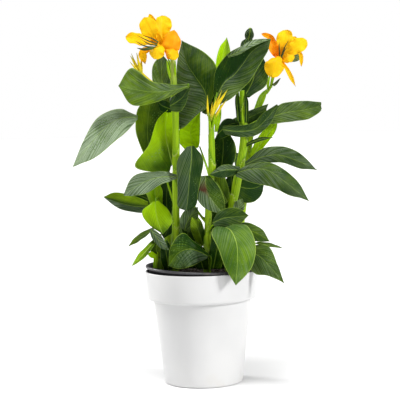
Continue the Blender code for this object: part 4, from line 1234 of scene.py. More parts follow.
# %% Shaded leaves, far side
SHADED.update({
    "back_upper": dict(
        route=[(0.000, 0.036, 0.522), (-0.003, 0.082, 0.566), (-0.005, 0.120, 0.592), (-0.008, 0.148, 0.588)],
        looks=[(0.0, 0.7, 0.7), (0.0, 0.2, 1.0), (0.0, 0.3, 0.9)], halves=(0.027, 0.027), folds=(12, 12),
        tone=(0.05, 0.0, 0.0, 0.0), bloom=(0.3, 0.3)),
    "back_left": dict(
        route=[(-0.060, 0.040, 0.380), (-0.072, 0.086, 0.440), (-0.068, 0.122, 0.458),
               (-0.064, 0.148, 0.440)],
        looks=[(0.0, 0.6, 0.8), (0.0, 0.1, 1.0), (0.0, 0.5, 0.8)], halves=(0.025, 0.025), folds=(14, 14),
        tone=(0.08, 0.0, 0.0, 0.0), bloom=(0.2, 0.3)),
    "back_right": dict(
        route=[(0.084, 0.052, 0.360), (0.088, 0.094, 0.408), (0.090, 0.128, 0.420), (0.092, 0.150, 0.400)],
        looks=[(0.0, 0.6, 0.8), (0.0, 0.1, 1.0), (0.0, 0.5, 0.8)], halves=(0.023, 0.023), folds=(14, 14),
        tone=(0.06, 0.0, 0.0, 0.0), bloom=(0.3, 0.2)),
    "back_low_right": dict(
        route=[(0.030, 0.045, 0.250), (0.028, 0.086, 0.292), (0.026, 0.118, 0.294), (0.024, 0.142, 0.268)],
        looks=[(0.0, 0.6, 0.8), (0.0, 0.1, 1.0), (0.0, 0.6, 0.7)], halves=(0.024, 0.024), folds=(14, 14),
        tone=(0.12, 0.0, 0.0, 0.0), bloom=(0.2, 0.2)),
    "back_low_left": dict(
        route=[(-0.030, 0.045, 0.245), (-0.044, 0.084, 0.288), (-0.048, 0.116, 0.286),
               (-0.050, 0.136, 0.256)],
        looks=[(0.0, 0.6, 0.8), (0.0, 0.1, 1.0), (0.0, 0.6, 0.7)], halves=(0.021, 0.021), folds=(14, 14),
        tone=(0.18, 0.0, 0.0, 0.1), bloom=(0.1, 0.2)),
    "behind_stem_dark": dict(
        rib=[(-50, 514, 6), (-60, 518, 8), (-68, 522, 8), (-76, 530, 8)],
        left=[(-50, 508, 6), (-60, 508, 8), (-70, 512, 8), (-76, 530, 8)],
        right=[(-50, 526, 6), (-58, 530, 8), (-68, 532, 8), (-76, 530, 8)], tone=(0.0, 0.0, 0.0, 0.0)),
    "tip_wrapping": dict(
        rib=[(86, 606, 50), (88, 620, 48), (90, 634, 46), (96, 644, 46)],
        left=[(80, 608, 50), (81, 622, 48), (84, 636, 46), (96, 644, 46)],
        right=[(93, 606, 50), (96, 620, 48), (98, 634, 46), (96, 644, 46)],
        tone=(0.02, 0.0, 0.0, 0.0), bloom=(0.7, 0.5)),
    "bowl_lower_lobe": dict(
        rib=[(-52, 520, -20), (-38, 528, -22), (-27, 537, -24), (-14, 556, -28)],
        left=[(-52, 534, -20), (-42, 541, -22), (-28, 549, -25), (-14, 556, -28)],
        right=[(-50, 510, -20), (-32, 510, -22), (-21, 528, -24), (-14, 556, -28)],
        bulge=(0.08, 0.08), tone=(0.02, 0.0, 0.0, 0.0), bloom=(0.1, 0.1)),
})
for plan in SHADED.values():
    if "rib" in plan:
        plan["route"] = [seen(*point) for point in plan["rib"]]
        plan["edges"] = [[seen(*point) for point in plan[side]] for side in ("left", "right")]
print("shaded leaves planned:", len(SHADED))

# %% Leaves onto the plant
SLOT_OF = {
    "leaf_deep": ["bowl", "top_centre", "curled_tip", "ribbed_left", "hanging_centre", "left_folded",
                  "over_soil",
                  "right_low", "right_low_back", "centre_low", "streaked", "centre_left_tip", "right_trough",
                  "right_far_side", "dark_upright", "dark_right", "back_middle"],
    "leaf_bright": ["top_slim", "bright_left", "glowing", "left_light", "left_slim_lower", "over_rim",
                    "young_centre"],
    "stem_green": ["sheath_right"],
}


def slot_of(name):
    for slot, short_names in SLOT_OF.items():
        if name.replace("leaf_", "") in short_names:
            return slot
    return "leaf_grey"


leaves = {}
for name, plan in {**LARGE, **SMALL}.items():
    leaves[name] = leaf("blade_" + name.replace("leaf_", ""), slot_of(name), plan, name)
for name, plan in SHADED.items():
    slot = "leaf_bright" if plan["tone"][0] > 0.4 else "leaf_deep"
    leaves[name] = leaf("blade_" + name, slot, plan, None, SHADED_ROWS, SHADED_COLUMNS)
print("leaves made:", len(leaves))

# %% [markdown]
# ## How a stem is built
# A canna's stem is not solid wood: it is a roll of leaf bases, each wrapped round the ones
# inside it. A bare tube would look like a pipe, so the tube here swells a little below the edge
# of every wrapped base and steps in at that edge, which slants up towards the leaf it carries.
# The rings of the tube lie close together, so the steps stay crisp. Fine ribs run its whole
# length.

# %% Tube helper
RING_GAP = 0.0016
FRONT = Vector((0.0, -1.0, 0.0))


def tube_frame(route, share):
    """Two directions across the tube: towards the front, and to its side."""
    ahead = heading(route, share)
    guide = FRONT if abs(ahead.dot(FRONT)) < 0.9 else Vector((0.0, 0.0, 1.0))
    front = (guide - ahead * guide.dot(ahead)).normalized()
    return front, ahead.cross(front)


def tube_mesh(name, route, spokes=18, gap=RING_GAP, grow=None, tone=None):
    """A closed tube along (x, y, z, radius) points; grow and tone vary it round and along."""
    size = length_of(route)
    rings = max(6, int(size / gap))
    mesh = bpy.data.meshes.new(name)
    made = bmesh.new()
    blade_layer = made.loops.layers.uv.new("blade")
    vein_layer = made.loops.layers.uv.new("veins")
    loops, notes = [], {}
    for i in range(rings + 1):
        share = i / rings
        spot = along(route, share)
        middle, radius = Vector(spot[:3]), spot[3]
        front, side = tube_frame(route, share)
        ring = []
        for k in range(spokes + 1):
            angle = 2 * math.pi * k / spokes
            reach = radius + (grow(angle, middle.z, share, radius) if grow else 0.0)
            place_at = middle + (front * math.cos(angle) + side * math.sin(angle)) * reach
            vertex = ring[0] if k == spokes else made.verts.new(place_at)
            ring.append(vertex)
            notes.setdefault(vertex, (tone or (lambda *_: (0.3, 0.0)))(angle, middle.z, share))
        loops.append(ring)
    for i, (low, high) in enumerate(zip(loops, loops[1:])):
        for k in range(spokes):
            face = made.faces.new((low[k], low[k + 1], high[k + 1], high[k]))
            for loop, (turn, rise) in zip(face.loops, ((k, i), (k + 1, i), (k + 1, i + 1), (k, i + 1))):
                loop[blade_layer].uv = (turn / spokes, rise / rings)
                loop[vein_layer].uv = (turn / spokes * 2, rise / rings * size * 10)
    made.faces.new(loops[0][:-1][::-1])
    made.faces.new(loops[-1][:-1])
    made.verts.index_update()
    tones = {vertex.index: note for vertex, note in notes.items()}
    made.to_mesh(mesh)
    made.free()
    layer = mesh.color_attributes.new("tone", "FLOAT_COLOR", "POINT")
    for i, corner in enumerate(layer.data):
        corner.color = (*tones[i], 0.0, 1.0)
    return mesh


print("rings every", RING_GAP * 1000, "mm")

# %% [markdown]
# ## The skin of a stem
# The stem is smooth and pale yellow-green. Near the soil it is painted a dull dark green: mostly painted
# shade, where the crowded leaves keep the light off the foot of the stems, and a little the older skin there.
# Long streaks of deeper green follow the fibres of each wrapped base, and the base's thin edge dries to a
# pale straw line. Streaks are a noise stretched along the stem's own map, so that they run with the stem
# where it bends.

# %% Stem skin
PALE_STEM = (0.37, 0.57, 0.008)
GREEN_STEM = (0.050, 0.170, 0.002)
STRAW_STEM = (0.46, 0.50, 0.15)
# Painted shade near the soil: between these two heights the stem's colour goes over to this dark green.
STEM_FOOT_SHADE = (0.022, 0.060, 0.003)
FOOT_SHADE_TOP = 0.310
FOOT_SHADE_FULL = 0.225


def stem_skin():
    f = Finish("skin_stem")
    tone, dry, _ = painted(f)
    veins = f.vein_map()
    streak = f.grain(veins, 1.0, 3.0, (22.0, 0.8, 1.0))
    fibre = f.grain(veins, 1.0, 2.0, (75.0, 1.6, 1.0))
    shade = f.sum("ADD", tone, f.ramp(streak, 0.38, 0.62, -0.40, 0.40))
    skin = f.blend(f.ramp(shade, 0.0, 1.0), PALE_STEM, GREEN_STEM)
    skin = f.blend(f.ramp(fibre, 0.5, 0.75, 0.0, 0.35), skin, GREEN_STEM)
    skin = f.blend(dry, skin, STRAW_STEM)
    # Painted shade: towards the soil the stem is darkened, where the crowded leaves keep the light off it.
    height = f.add("SeparateXYZ", None, Vector=f.places()).outputs["Z"]
    skin = f.blend(f.ramp(height, FOOT_SHADE_TOP, FOOT_SHADE_FULL, 0.0, 0.85), skin, STEM_FOOT_SHADE)
    f.set(Base_Color=skin, Roughness=f.ramp(streak, 0.3, 0.7, 0.34, 0.48), Specular_IOR_Level=0.15)
    f.bump(fibre, 0.0004, 0.5)
    f.let_light_through((0.45, 0.62, 0.05), 0.15)
    return f


STEM_SKIN = stem_skin()
# Below this height the stems are painted darker, as shade near the soil.
print("stems age below", FOOT_SHADE_TOP, "m")

# %% Stem plans
STEM_START = 0.210
STEMS = {
    "stem_left": [
        (-0.050, -0.008, 0.210, 0.0085), (-0.046, -0.010, 0.300, 0.0072), (-0.043, -0.011, 0.400, 0.0070),
        (-0.042, -0.012, 0.500, 0.0066), (-0.0435, -0.013, 0.560, 0.0062), (-0.0450, -0.013, 0.604, 0.0045),
        (-0.0540, -0.012, 0.630, 0.0024),
    ],
    "stem_centre": [
        (0.010, -0.022, 0.210, 0.0075), (0.0135, -0.024, 0.300, 0.0062), (0.0185, -0.025, 0.360, 0.0062),
        (0.0235, -0.026, 0.405, 0.0068), (0.024, -0.026, 0.450, 0.0060), (0.023, -0.027, 0.494, 0.0045),
    ],
    "stem_right": [
        (0.052, 0.004, 0.210, 0.0085), (0.060, 0.005, 0.320, 0.0080), (0.068, 0.006, 0.361, 0.0080),
        (0.0765, 0.006, 0.405, 0.0078), (0.086, 0.006, 0.462, 0.0076), (0.0835, 0.006, 0.500, 0.0066),
        (0.0835, 0.007, 0.546, 0.0055),
    ],
    "stem_far_right": [
        (0.066, 0.044, 0.210, 0.0075), (0.082, 0.046, 0.330, 0.0070), (0.094, 0.048, 0.428, 0.0068),
        (0.1015, 0.050, 0.470, 0.0056), (0.108, 0.050, 0.502, 0.0040), (0.1215, 0.048, 0.534, 0.0042),
        (0.132, 0.044, 0.542, 0.0030), (0.1385, 0.041, 0.552, 0.0028), (0.1425, 0.038, 0.567, 0.0034),
        (0.147, 0.035, 0.585, 0.0044),
    ],
    "stem_back_left": [
        (-0.058, 0.032, 0.210, 0.0080), (-0.064, 0.034, 0.300, 0.0076), (-0.068, 0.036, 0.345, 0.0072),
        (-0.073, 0.036, 0.378, 0.0040),
    ],
    "shoot_left": [
        (-0.078, -0.012, 0.210, 0.0085), (-0.077, -0.013, 0.240, 0.0080), (-0.076, -0.014, 0.265, 0.0040),
    ],
    "stalk_far_left": [
        (-0.0785, 0.036, 0.388, 0.0022), (-0.092, 0.040, 0.412, 0.0020), (-0.106, 0.044, 0.436, 0.0018),
        (-0.1165, 0.032, 0.470, 0.0016), (-0.1165, 0.018, 0.498, 0.0014),
    ],
}

# A wrapped base is its edge's height, the way it faces in degrees from the front, how far the
# edge slants and how thick it is.
WRAPS = {
    "stem_left": [(0.268, 40, 0.030, 0.0013), (0.338, 200, 0.045, 0.0012), (0.402, -30, 0.035, 0.0011),
                  (0.468, 150, 0.040, 0.0010), (0.548, -60, 0.030, 0.0009)],
    "stem_centre": [(0.262, -60, 0.030, 0.0014), (0.322, 120, 0.040, 0.0012), (0.386, 30, 0.045, 0.0014),
                    (0.440, -120, 0.030, 0.0012), (0.482, 60, 0.020, 0.0008)],
    "stem_right": [(0.270, 100, 0.040, 0.0014), (0.352, -40, 0.050, 0.0013), (0.420, 60, 0.045, 0.0013),
                   (0.486, -90, 0.035, 0.0014), (0.532, 90, 0.030, 0.0010)],
    "stem_far_right": [(0.280, -40, 0.040, 0.0012), (0.360, 80, 0.040, 0.0012), (0.442, -60, 0.040, 0.0012),
                       (0.520, 60, 0.020, 0.0006)],
    "stem_back_left": [(0.262, 0, 0.040, 0.0012), (0.318, 160, 0.040, 0.0011), (0.362, -40, 0.025, 0.0010)],
    "shoot_left": [(0.238, 30, 0.020, 0.0012), (0.256, -120, 0.016, 0.0010)],
}
WRAP_FADE = 0.055
EDGE_BAND = 0.0022
EDGE_SHADE = 0.012
STEM_SINK = 0.004

# A flowering stem is dry and pale round one height near its top.
PALE_TOPS = {"stem_left": 0.588, "stem_far_right": 0.515}
PALE_REACH = 0.035
print("stems planned:", len(STEMS))


# %% Stems onto the plant
def wrap_edges(name):
    def depth_below(wrap, angle, height):
        edge, facing, slant, _ = wrap
        return edge - slant * (1 - math.cos(angle - math.radians(facing))) / 2 - height

    def grow(angle, height, share, radius):
        ribs = 0.00016 * math.sin(angle * 9) + 0.0001 * math.sin(angle * 17 + 2)
        swell = 0.0
        for wrap in WRAPS.get(name, []):
            depth = depth_below(wrap, angle, height)
            if 0.0 <= depth < WRAP_FADE:
                swell = max(swell, wrap[3] * (1 - depth / WRAP_FADE))
        return ribs + swell - 0.0004

    def tone(angle, height, share):
        from_pale = abs(height - PALE_TOPS.get(name, math.inf))
        dry = 0.7 * max(0.0, 1 - from_pale / PALE_REACH)
        green = 0.12 + 0.45 * share
        for wrap in WRAPS.get(name, []):
            depth = depth_below(wrap, angle, height)
            if 0.0 <= depth < EDGE_BAND:
                dry = 0.75
            if -EDGE_SHADE < depth < 0.0:
                green += 0.45 * (1 + depth / EDGE_SHADE)
        return min(green, 1.0), dry

    return grow, tone


def stem(name, route):
    start = route[0]
    if start[2] == STEM_START:
        ground = soil_top(start[0], start[1]).z - STEM_SINK
        route = [(start[0], start[1], ground, start[3])] + route[1:]
    mesh = tube_mesh(name, route, 22, RING_GAP, *wrap_edges(name))
    return place(name.replace("stem_", "cane_"), mesh, STEM_SKIN, "stem_green", name)


canes = [stem(name, route) for name, route in STEMS.items()]
print("canes:", [cane.name for cane in canes])

# %% [markdown]
# ## Leaf stalks
# A leaf narrows into a short stalk that joins its stem. Without one a leaf would hang in the air
# beside the plant. Each stalk is a slim tube, thicker towards the stem, with a channel along its
# upper side like the one over the midrib.

# %% Stalks
STALKS = {
    "bowl": [(-0.016, -0.031, 0.5600), (-0.026, -0.016, 0.545), (-0.036, -0.009, 0.520),
             (-0.042, -0.011, 0.488)],
    "top_centre": [(0.018, -0.009, 0.515), (0.023, -0.016, 0.485), (0.024, -0.024, 0.445)],
    "top_right": [(0.036, -0.026, 0.543), (0.029, -0.026, 0.510), (0.024, -0.025, 0.462)],
    "top_slim": [(0.033, 0.021, 0.558), (0.031, 0.008, 0.520), (0.025, -0.020, 0.462)],
    "curled_tip": [(0.088, 0.025, 0.542), (0.087, 0.014, 0.515), (0.084, 0.007, 0.484)],
    "behind_flower_stem": [(-0.056, 0.035, 0.508), (-0.050, 0.018, 0.470), (-0.043, -0.008, 0.430)],
    "ribbed_left": [(-0.090, 0.026, 0.427), (-0.082, 0.032, 0.400), (-0.070, 0.036, 0.360)],
    "bright_left": [(-0.064, 0.005, 0.397), (-0.058, -0.002, 0.370), (-0.046, -0.009, 0.330)],
    "glowing": [(0.002, 0.034, 0.442), (0.011, 0.014, 0.415), (0.020, -0.020, 0.385)],
    "hanging_centre": [(-0.032, -0.026, 0.4305), (-0.039, -0.019, 0.422), (-0.043, -0.012, 0.400)],
    "left_upper": [(-0.046, -0.025, 0.388), (-0.043, -0.018, 0.376), (-0.044, -0.011, 0.352)],
    "left_folded": [(-0.102, 0.010, 0.330), (-0.088, 0.020, 0.318), (-0.066, 0.034, 0.296)],
    "left_light": [(-0.082, -0.018, 0.342), (-0.080, 0.006, 0.348), (-0.069, 0.032, 0.325)],
    "slim_upper": [(-0.090, 0.000, 0.290), (-0.080, -0.006, 0.280), (-0.077, -0.012, 0.252)],
    "slim_lower": [(-0.083, -0.027, 0.273), (-0.078, -0.020, 0.266), (-0.077, -0.014, 0.246)],
    "over_soil": [(0.010, -0.062, 0.247), (0.018, -0.050, 0.238), (0.013, -0.028, 0.210)],
    "over_rim": [(0.047, -0.058, 0.292), (0.038, -0.042, 0.284), (0.014, -0.024, 0.246)],
    "right_low": [(0.092, -0.051, 0.245), (0.076, -0.034, 0.246), (0.056, -0.002, 0.222)],
    "right_low_back": [(0.058, -0.036, 0.290), (0.050, -0.024, 0.280), (0.055, 0.000, 0.248)],
    "right_low_slim": [(0.106, -0.025, 0.262), (0.086, -0.012, 0.258), (0.060, 0.003, 0.240)],
    "centre_low": [(0.030, -0.051, 0.303), (0.020, -0.040, 0.296), (0.013, -0.026, 0.280)],
    "streaked": [(0.014, -0.038, 0.386), (0.017, -0.032, 0.380), (0.018, -0.026, 0.362)],
    "centre_left_tip": [(0.062, -0.014, 0.397), (0.070, -0.004, 0.392), (0.071, 0.004, 0.376)],
    "right_middle": [(0.072, -0.016, 0.392), (0.070, -0.005, 0.384), (0.068, 0.003, 0.362)],
    "right_arching": [(0.092, -0.007, 0.407), (0.082, 0.002, 0.396), (0.073, 0.005, 0.376)],
    "right_upper": [(0.131, 0.011, 0.495), (0.112, 0.012, 0.489), (0.088, 0.008, 0.476)],
    "dark_upright": [(0.046, 0.031, 0.400), (0.050, 0.018, 0.370), (0.060, 0.007, 0.335)],
    "dark_right": [(0.074, 0.023, 0.368), (0.070, 0.014, 0.350), (0.063, 0.007, 0.326)],
    "young_centre": [(0.003, -0.002, 0.278), (0.006, -0.010, 0.255), (0.009, -0.020, 0.218)],
    "back_middle": [(-0.016, 0.026, 0.347), (-0.010, 0.004, 0.330), (0.012, -0.022, 0.300)],
    "back_low": [(0.028, 0.042, 0.248), (0.034, 0.024, 0.236), (0.050, 0.006, 0.212)],
}
STALK_THIN = 0.0014
STALK_THICK = 0.0027


def stalk_channel(angle, height, share, radius):
    return -0.0005 * near(angle - math.pi, 0.5)


def stalk(name, points):
    taper = (STALK_THICK - STALK_THIN) / (len(points) - 1)
    route = [(*point, STALK_THIN + taper * i) for i, point in enumerate(points)]
    tone = lambda angle, height, share: (0.75 - 0.4 * share, 0.0)
    mesh = tube_mesh("stalk_" + name, route, 10, 0.003, stalk_channel, tone)
    return place("stalk_" + name, mesh, STEM_SKIN, "stem_green")


for name, points in STALKS.items():
    stalk(name, points)
print("stalks:", len(STALKS))

# %% [markdown]
# ## Petals
# Canna flowers are loose, and their showy parts are soft crumpled blades: yellow, flushed with
# orange towards the throat. They are built like leaves, but wider towards the tip, with a deeper
# ruffle along the margin and no pleats. Their colour runs from orange to yellow by the painted
# tone, with fine darker streaks that fan along the petal. A lot of light passes through them,
# which keeps their shadows warm instead of grey.

# %% Petal skin
def petal_skin(name, yellow, orange, deep, through):
    f = Finish(name)
    tone = painted(f)[0]
    side, share = f.blade_map()
    fan = f.add("CombineXYZ", None, X=side, Y=share).outputs["Vector"]
    streak = f.grain(fan, 1.0, 3.0, (14.0, 1.2, 1.0))
    patch = f.grain(f.places(), 70.0, 2.0)
    flush = f.sum("ADD", tone, f.ramp(share, 0.6, 0.0, 0.0, 0.5))
    flush = f.sum("ADD", flush, f.ramp(patch, 0.3, 0.7, -0.15, 0.25))
    skin = f.blend(f.ramp(flush, 0.0, 0.9), yellow, orange)
    skin = f.blend(f.ramp(flush, 0.75, 1.4, 0.0, 0.8), skin, deep)
    skin = f.blend(f.ramp(streak, 0.5, 0.7, 0.0, 0.3), skin, orange)
    f.set(Base_Color=skin, Roughness=0.5, Specular_IOR_Level=0.12)
    f.bump(f.sum("ADD", streak, f.sum("MULTIPLY", patch, 0.6)), 0.0007, 0.6)
    f.let_light_through(through, 0.38)
    return f


YELLOW_SKIN = petal_skin("skin_petal_yellow", (0.92, 0.66, 0.008), (0.92, 0.46, 0.003), (0.88, 0.28, 0.001),
                         (1.0, 0.68, 0.01))
ORANGE_SKIN = petal_skin("skin_petal_orange", (0.96, 0.50, 0.006), (0.95, 0.29, 0.003), (0.85, 0.14, 0.002),
                         (1.0, 0.42, 0.01))
print("petal skins:", [skin.material.name for skin in (YELLOW_SKIN, ORANGE_SKIN)])

# %% Petal plans
PETALS = {
    "petal_left_top": dict(
        route=[(-0.075, -0.012, 0.634), (-0.092, -0.025, 0.658), (-0.104, -0.018, 0.684)],
        looks=[(-0.2, -0.95, -0.2), (-0.3, -0.9, 0.3)], halves=(0.017, 0.017), folds=(14, 14),
        curl=(-25, -30)),
    "petal_left_slim": dict(
        route=[(-0.074, 0.002, 0.640), (-0.085, 0.004, 0.667), (-0.0945, 0.002, 0.6915)],
        looks=[(0.0, -1.0, 0.1)], halves=(0.008, 0.008), folds=(20, 20), curl=(20, 20)),
    "petal_left_back": dict(
        route=[(-0.070, -0.006, 0.636), (-0.071, -0.004, 0.664), (-0.064, 0.004, 0.687)],
        looks=[(0.1, -0.95, -0.1), (0.1, -0.9, 0.3)], halves=(0.017, 0.017), folds=(10, 14), curl=(30, -20)),
    "petal_left_side": dict(
        route=[(-0.080, -0.020, 0.634), (-0.110, -0.034, 0.640), (-0.138, -0.033, 0.648)],
        looks=[(0.0, -0.8, 0.6), (0.0, -0.9, 0.3)], halves=(0.0145, 0.0135), folds=(14, 14), curl=(30, 20)),
    "petal_left_orange": dict(
        route=[(-0.060, -0.018, 0.606), (-0.053, -0.036, 0.626), (-0.049, -0.031, 0.659)],
        looks=[(0.15, -0.95, -0.1), (0.2, -0.9, 0.5)], halves=(0.020, 0.0185), folds=(-8, -8),
        curl=(-30, -36),
        tone=(0.30, 0.0, 0.0, -0.1)),
    "petal_left_front": dict(
        route=[(-0.067, -0.026, 0.634), (-0.079, -0.043, 0.625), (-0.086, -0.042, 0.606)],
        looks=[(-0.1, -0.7, 0.7), (-0.1, -0.95, 0.1)], halves=(0.016, 0.017), folds=(-12, -12),
        curl=(-30, -25)),
    "petal_right_top": dict(
        route=[(0.152, 0.030, 0.608), (0.158, 0.024, 0.634), (0.164, 0.032, 0.658)],
        looks=[(0.1, -0.95, -0.1), (0.1, -0.9, 0.4)], halves=(0.016, 0.016), folds=(12, 12), curl=(-25, 25)),
    "petal_right_side": dict(
        route=[(0.156, 0.022, 0.610), (0.179, 0.015, 0.624), (0.200, 0.020, 0.638)],
        looks=[(0.1, -0.95, 0.2)], halves=(0.015, 0.014), folds=(10, 10), curl=(-30, -20)),
    "petal_right_slim": dict(
        route=[(0.148, 0.038, 0.616), (0.136, 0.036, 0.642), (0.1165, 0.033, 0.652)],
        looks=[(0.0, -1.0, 0.1)], halves=(0.006, 0.006), folds=(15, 15), curl=(30, 30)),
    "petal_right_orange": dict(
        route=[(0.148, 0.022, 0.604), (0.139, 0.015, 0.620), (0.135, 0.016, 0.638)],
        looks=[(0.0, -1.0, 0.1)], halves=(0.011, 0.011), folds=(14, 14), curl=(30, 30),
        tone=(0.5, 0.0, 0.0, 0.0)),
    "petal_right_front": dict(
        route=[(0.149, 0.012, 0.610), (0.139, -0.003, 0.596), (0.134, -0.001, 0.568)],
        looks=[(0.0, -0.7, 0.7), (0.0, -0.98, 0.0)], halves=(0.0215, 0.0205), folds=(-12, -12),
        curl=(-30, -30),
        tone=(0.1, 0.0, 0.0, 0.0)),
}
print("petals with a plain piece:", len(PETALS))

# %% Loose petal plans
LOOSE_PETALS = {
    "petal_left_lip": dict(
        route=[(-0.065, -0.028, 0.628), (-0.053, -0.041, 0.619), (-0.047, -0.038, 0.604)],
        looks=[(0.1, -0.7, 0.7), (0.1, -0.95, 0.1)], halves=(0.013, 0.012), folds=(-10, -10), curl=(-30, -30),
        tone=(0.5, 0.0, 0.0, -0.6), wave=0.003),
    "petal_left_drop": dict(
        route=[(-0.086, -0.020, 0.628), (-0.107, -0.026, 0.619), (-0.1035, -0.027, 0.598)],
        looks=[(0.0, -0.9, 0.3)], halves=(0.008, 0.008), folds=(15, 15), blunt=1.1,
        tone=(0.2, 0.0, 0.0, 0.0)),
    "petal_left_throat": dict(
        route=[(-0.070, -0.014, 0.622), (-0.073, -0.024, 0.638), (-0.079, -0.026, 0.654)],
        looks=[(-0.2, -0.95, 0.0)], halves=(0.008, 0.008), folds=(25, 25), curl=(40, 40),
        tone=(0.4, 0.0, 0.0, 0.0)),
    "petal_right_lip": dict(
        route=[(0.150, 0.014, 0.600), (0.162, 0.004, 0.604), (0.176, 0.006, 0.609)],
        looks=[(0.0, -0.9, 0.4)], halves=(0.010, 0.010), folds=(-10, -10), curl=(-30, -40),
        tone=(0.4, 0.0, 0.0, -0.2)),
    "petal_right_thin": dict(
        route=[(0.152, 0.010, 0.600), (0.163, 0.004, 0.580), (0.177, 0.006, 0.551)],
        looks=[(0.0, -1.0, 0.2)], halves=(0.0045, 0.0045), folds=(20, 20), blunt=1.1,
        tone=(0.4, 0.0, 0.0, -0.4)),
    "petal_right_strand": dict(
        route=[(0.178, 0.020, 0.622), (0.188, 0.013, 0.610), (0.189, 0.013, 0.588)],
        looks=[(0.0, -1.0, 0.2)], halves=(0.0040, 0.0040), folds=(20, 20), blunt=0.8,
        tone=(0.3, 0.0, 0.0, -0.2)),
    "petal_right_behind": dict(
        route=[(0.152, 0.040, 0.606), (0.170, 0.046, 0.626), (0.182, 0.050, 0.646)],
        looks=[(0.0, -1.0, 0.2)], halves=(0.011, 0.011), folds=(8, 8), curl=(-20, -20)),
}
PETAL_SHAPE = dict(widest=0.66, blunt=0.5, base=0.22, tip=0.05, pleat=0.0, wave=0.0024, waves=3.2,
                   tone=(0.0, 0.0, 0.0, 0.0))
PETAL_ROWS = 22
PETAL_COLUMNS = 8
ORANGE_PETALS = ("petal_left_orange", "petal_right_slim", "petal_right_orange")
print("petals planned:", len(PETALS) + len(LOOSE_PETALS))

# %% Petals onto the plant
FLOWER_SHIFT = {"left": 0.0085, "right": 0.0065}


def flower_of(name):
    return "left" if "left" in name else "right"


def moved(name, points):
    """A flower's planned points, slid sideways so that the flower sits over its own stem."""
    return [(x + FLOWER_SHIFT[flower_of(name)], y, z) for x, y, z in points]


def petal(name, plan, node=None):
    plan = {**PETAL_SHAPE, **plan}
    plan["route"] = moved(name, plan["route"])
    mesh = blade_mesh("bloom_" + name, plan, PETAL_ROWS, PETAL_COLUMNS)
    paint_tone(mesh, plan)
    mesh.polygons.foreach_set("material_index", [0] * len(mesh.polygons))
    orange = name in ORANGE_PETALS
    skin, slot = (ORANGE_SKIN, "petal_orange") if orange else (YELLOW_SKIN, "petal_yellow")
    return place(name.replace("petal_", "bloom_"), mesh, skin, slot, node)


for name, plan in PETALS.items():
    petal(name, plan, name)
for name, plan in LOOSE_PETALS.items():
    petal(name, plan)
print("petals:", len(PETALS) + len(LOOSE_PETALS))

# %% [markdown]
# ## What the petals stand on
# Each showy petal narrows to a claw, and all the claws of one flower rise from one short neck on
# top of the stem. They are hardly seen from the front, but from the side the petals would hang
# in the air without them. A claw is a thin tube from the neck into the foot of its petal.

# %% Claws
NECKS = {
    "left": [(-0.0470, -0.0130, 0.612), (-0.0520, -0.0125, 0.622), (-0.0570, -0.0125, 0.630)],
    "right": [(0.1470, 0.0350, 0.584), (0.1512, 0.0310, 0.593), (0.1550, 0.0260, 0.601)],
}
NECK_THICK = 0.0030
CLAW_THICK = 0.0016
FOOT_SHARE = 0.16
for flower, points in NECKS.items():
    route = [(*point, NECK_THICK) for point in points]
    neck = tube_mesh("neck_" + flower, route, 12, 0.002, lambda *_: 0.0, lambda *_: (0.5, 0.0))
    place("neck_" + flower, neck, YELLOW_SKIN, "petal_yellow")


def claw(name, plan):
    points = [Vector(point) for point in moved(name, plan["route"])]
    neck = Vector(NECKS[flower_of(name)][-1])
    foot = points[0].lerp(points[1], FOOT_SHARE)
    route = [(*neck, CLAW_THICK * 1.2), (*neck.lerp(foot, 0.5), CLAW_THICK), (*foot, CLAW_THICK * 0.7)]
    piece = name.replace("petal_", "claw_")
    mesh = tube_mesh(piece, route, 8, 0.0015, lambda *_: 0.0, lambda *_: (0.35, 0.0))
    return place(piece, mesh, YELLOW_SKIN, "petal_yellow")


claws = [claw(name, plan) for name, plan in {**PETALS, **LOOSE_PETALS}.items()]
print("claws:", len(claws), "necks:", len(NECKS))

# %% [markdown]
# ## Buds, calyx and stamens
# Unopened flowers stand in tight sheaves of slim pointed buds, yellow with a green base and an
# olive tip. One bud is a tube with a spindle's radius and a slow twist. The stamens
# are dark olive strands that bend out of the throat. The calyx is a cup of pale green bracts at
# the top of the stem, which holds the flower.

# %% Buds
def bud_skin(name, base, middle, tip):
    f = Finish(name)
    _, share = f.blade_map()
    streak = f.grain(f.vein_map(), 1.0, 3.0, (16.0, 1.5, 1.0))
    skin = f.blend(f.ramp(share, 0.05, 0.40), base, middle)
    skin = f.blend(f.ramp(share, 0.72, 1.0), skin, tip)
    skin = f.blend(f.ramp(streak, 0.48, 0.68, 0.0, 0.6), skin, tip)
    f.set(Base_Color=skin, Roughness=0.42, Specular_IOR_Level=0.2)
    f.bump(streak, 0.0005, 0.6)
    f.let_light_through(middle, 0.2)
    return f


BUD_SKIN = bud_skin("skin_bud", (0.26, 0.36, 0.02), (0.80, 0.62, 0.012), (0.36, 0.36, 0.02))
OLIVE_SKIN = bud_skin("skin_olive", (0.10, 0.16, 0.03), (0.055, 0.075, 0.018), (0.040, 0.040, 0.014))


BUD_TWIST = 5.0
BUD_RIDGES = 3


def bud_ridges(angle, height, share, radius):
    return radius * 0.14 * math.cos(BUD_RIDGES * angle + BUD_TWIST * share)


def spindle(name, points, widest, skin, node=None):
    spans = len(points) - 1
    route = [(*point, widest * (0.35 + 0.65 * math.sin(math.pi * min(1.0, (i + 0.4) / spans) ** 0.8)))
             for i, point in enumerate(points)]
    route[-1] = (*points[-1], widest * 0.12)
    return place(name, tube_mesh(name, route, 12, 0.0012, bud_ridges), skin, "bud", node)


print("bud skins:", [skin.material.name for skin in (BUD_SKIN, OLIVE_SKIN)])

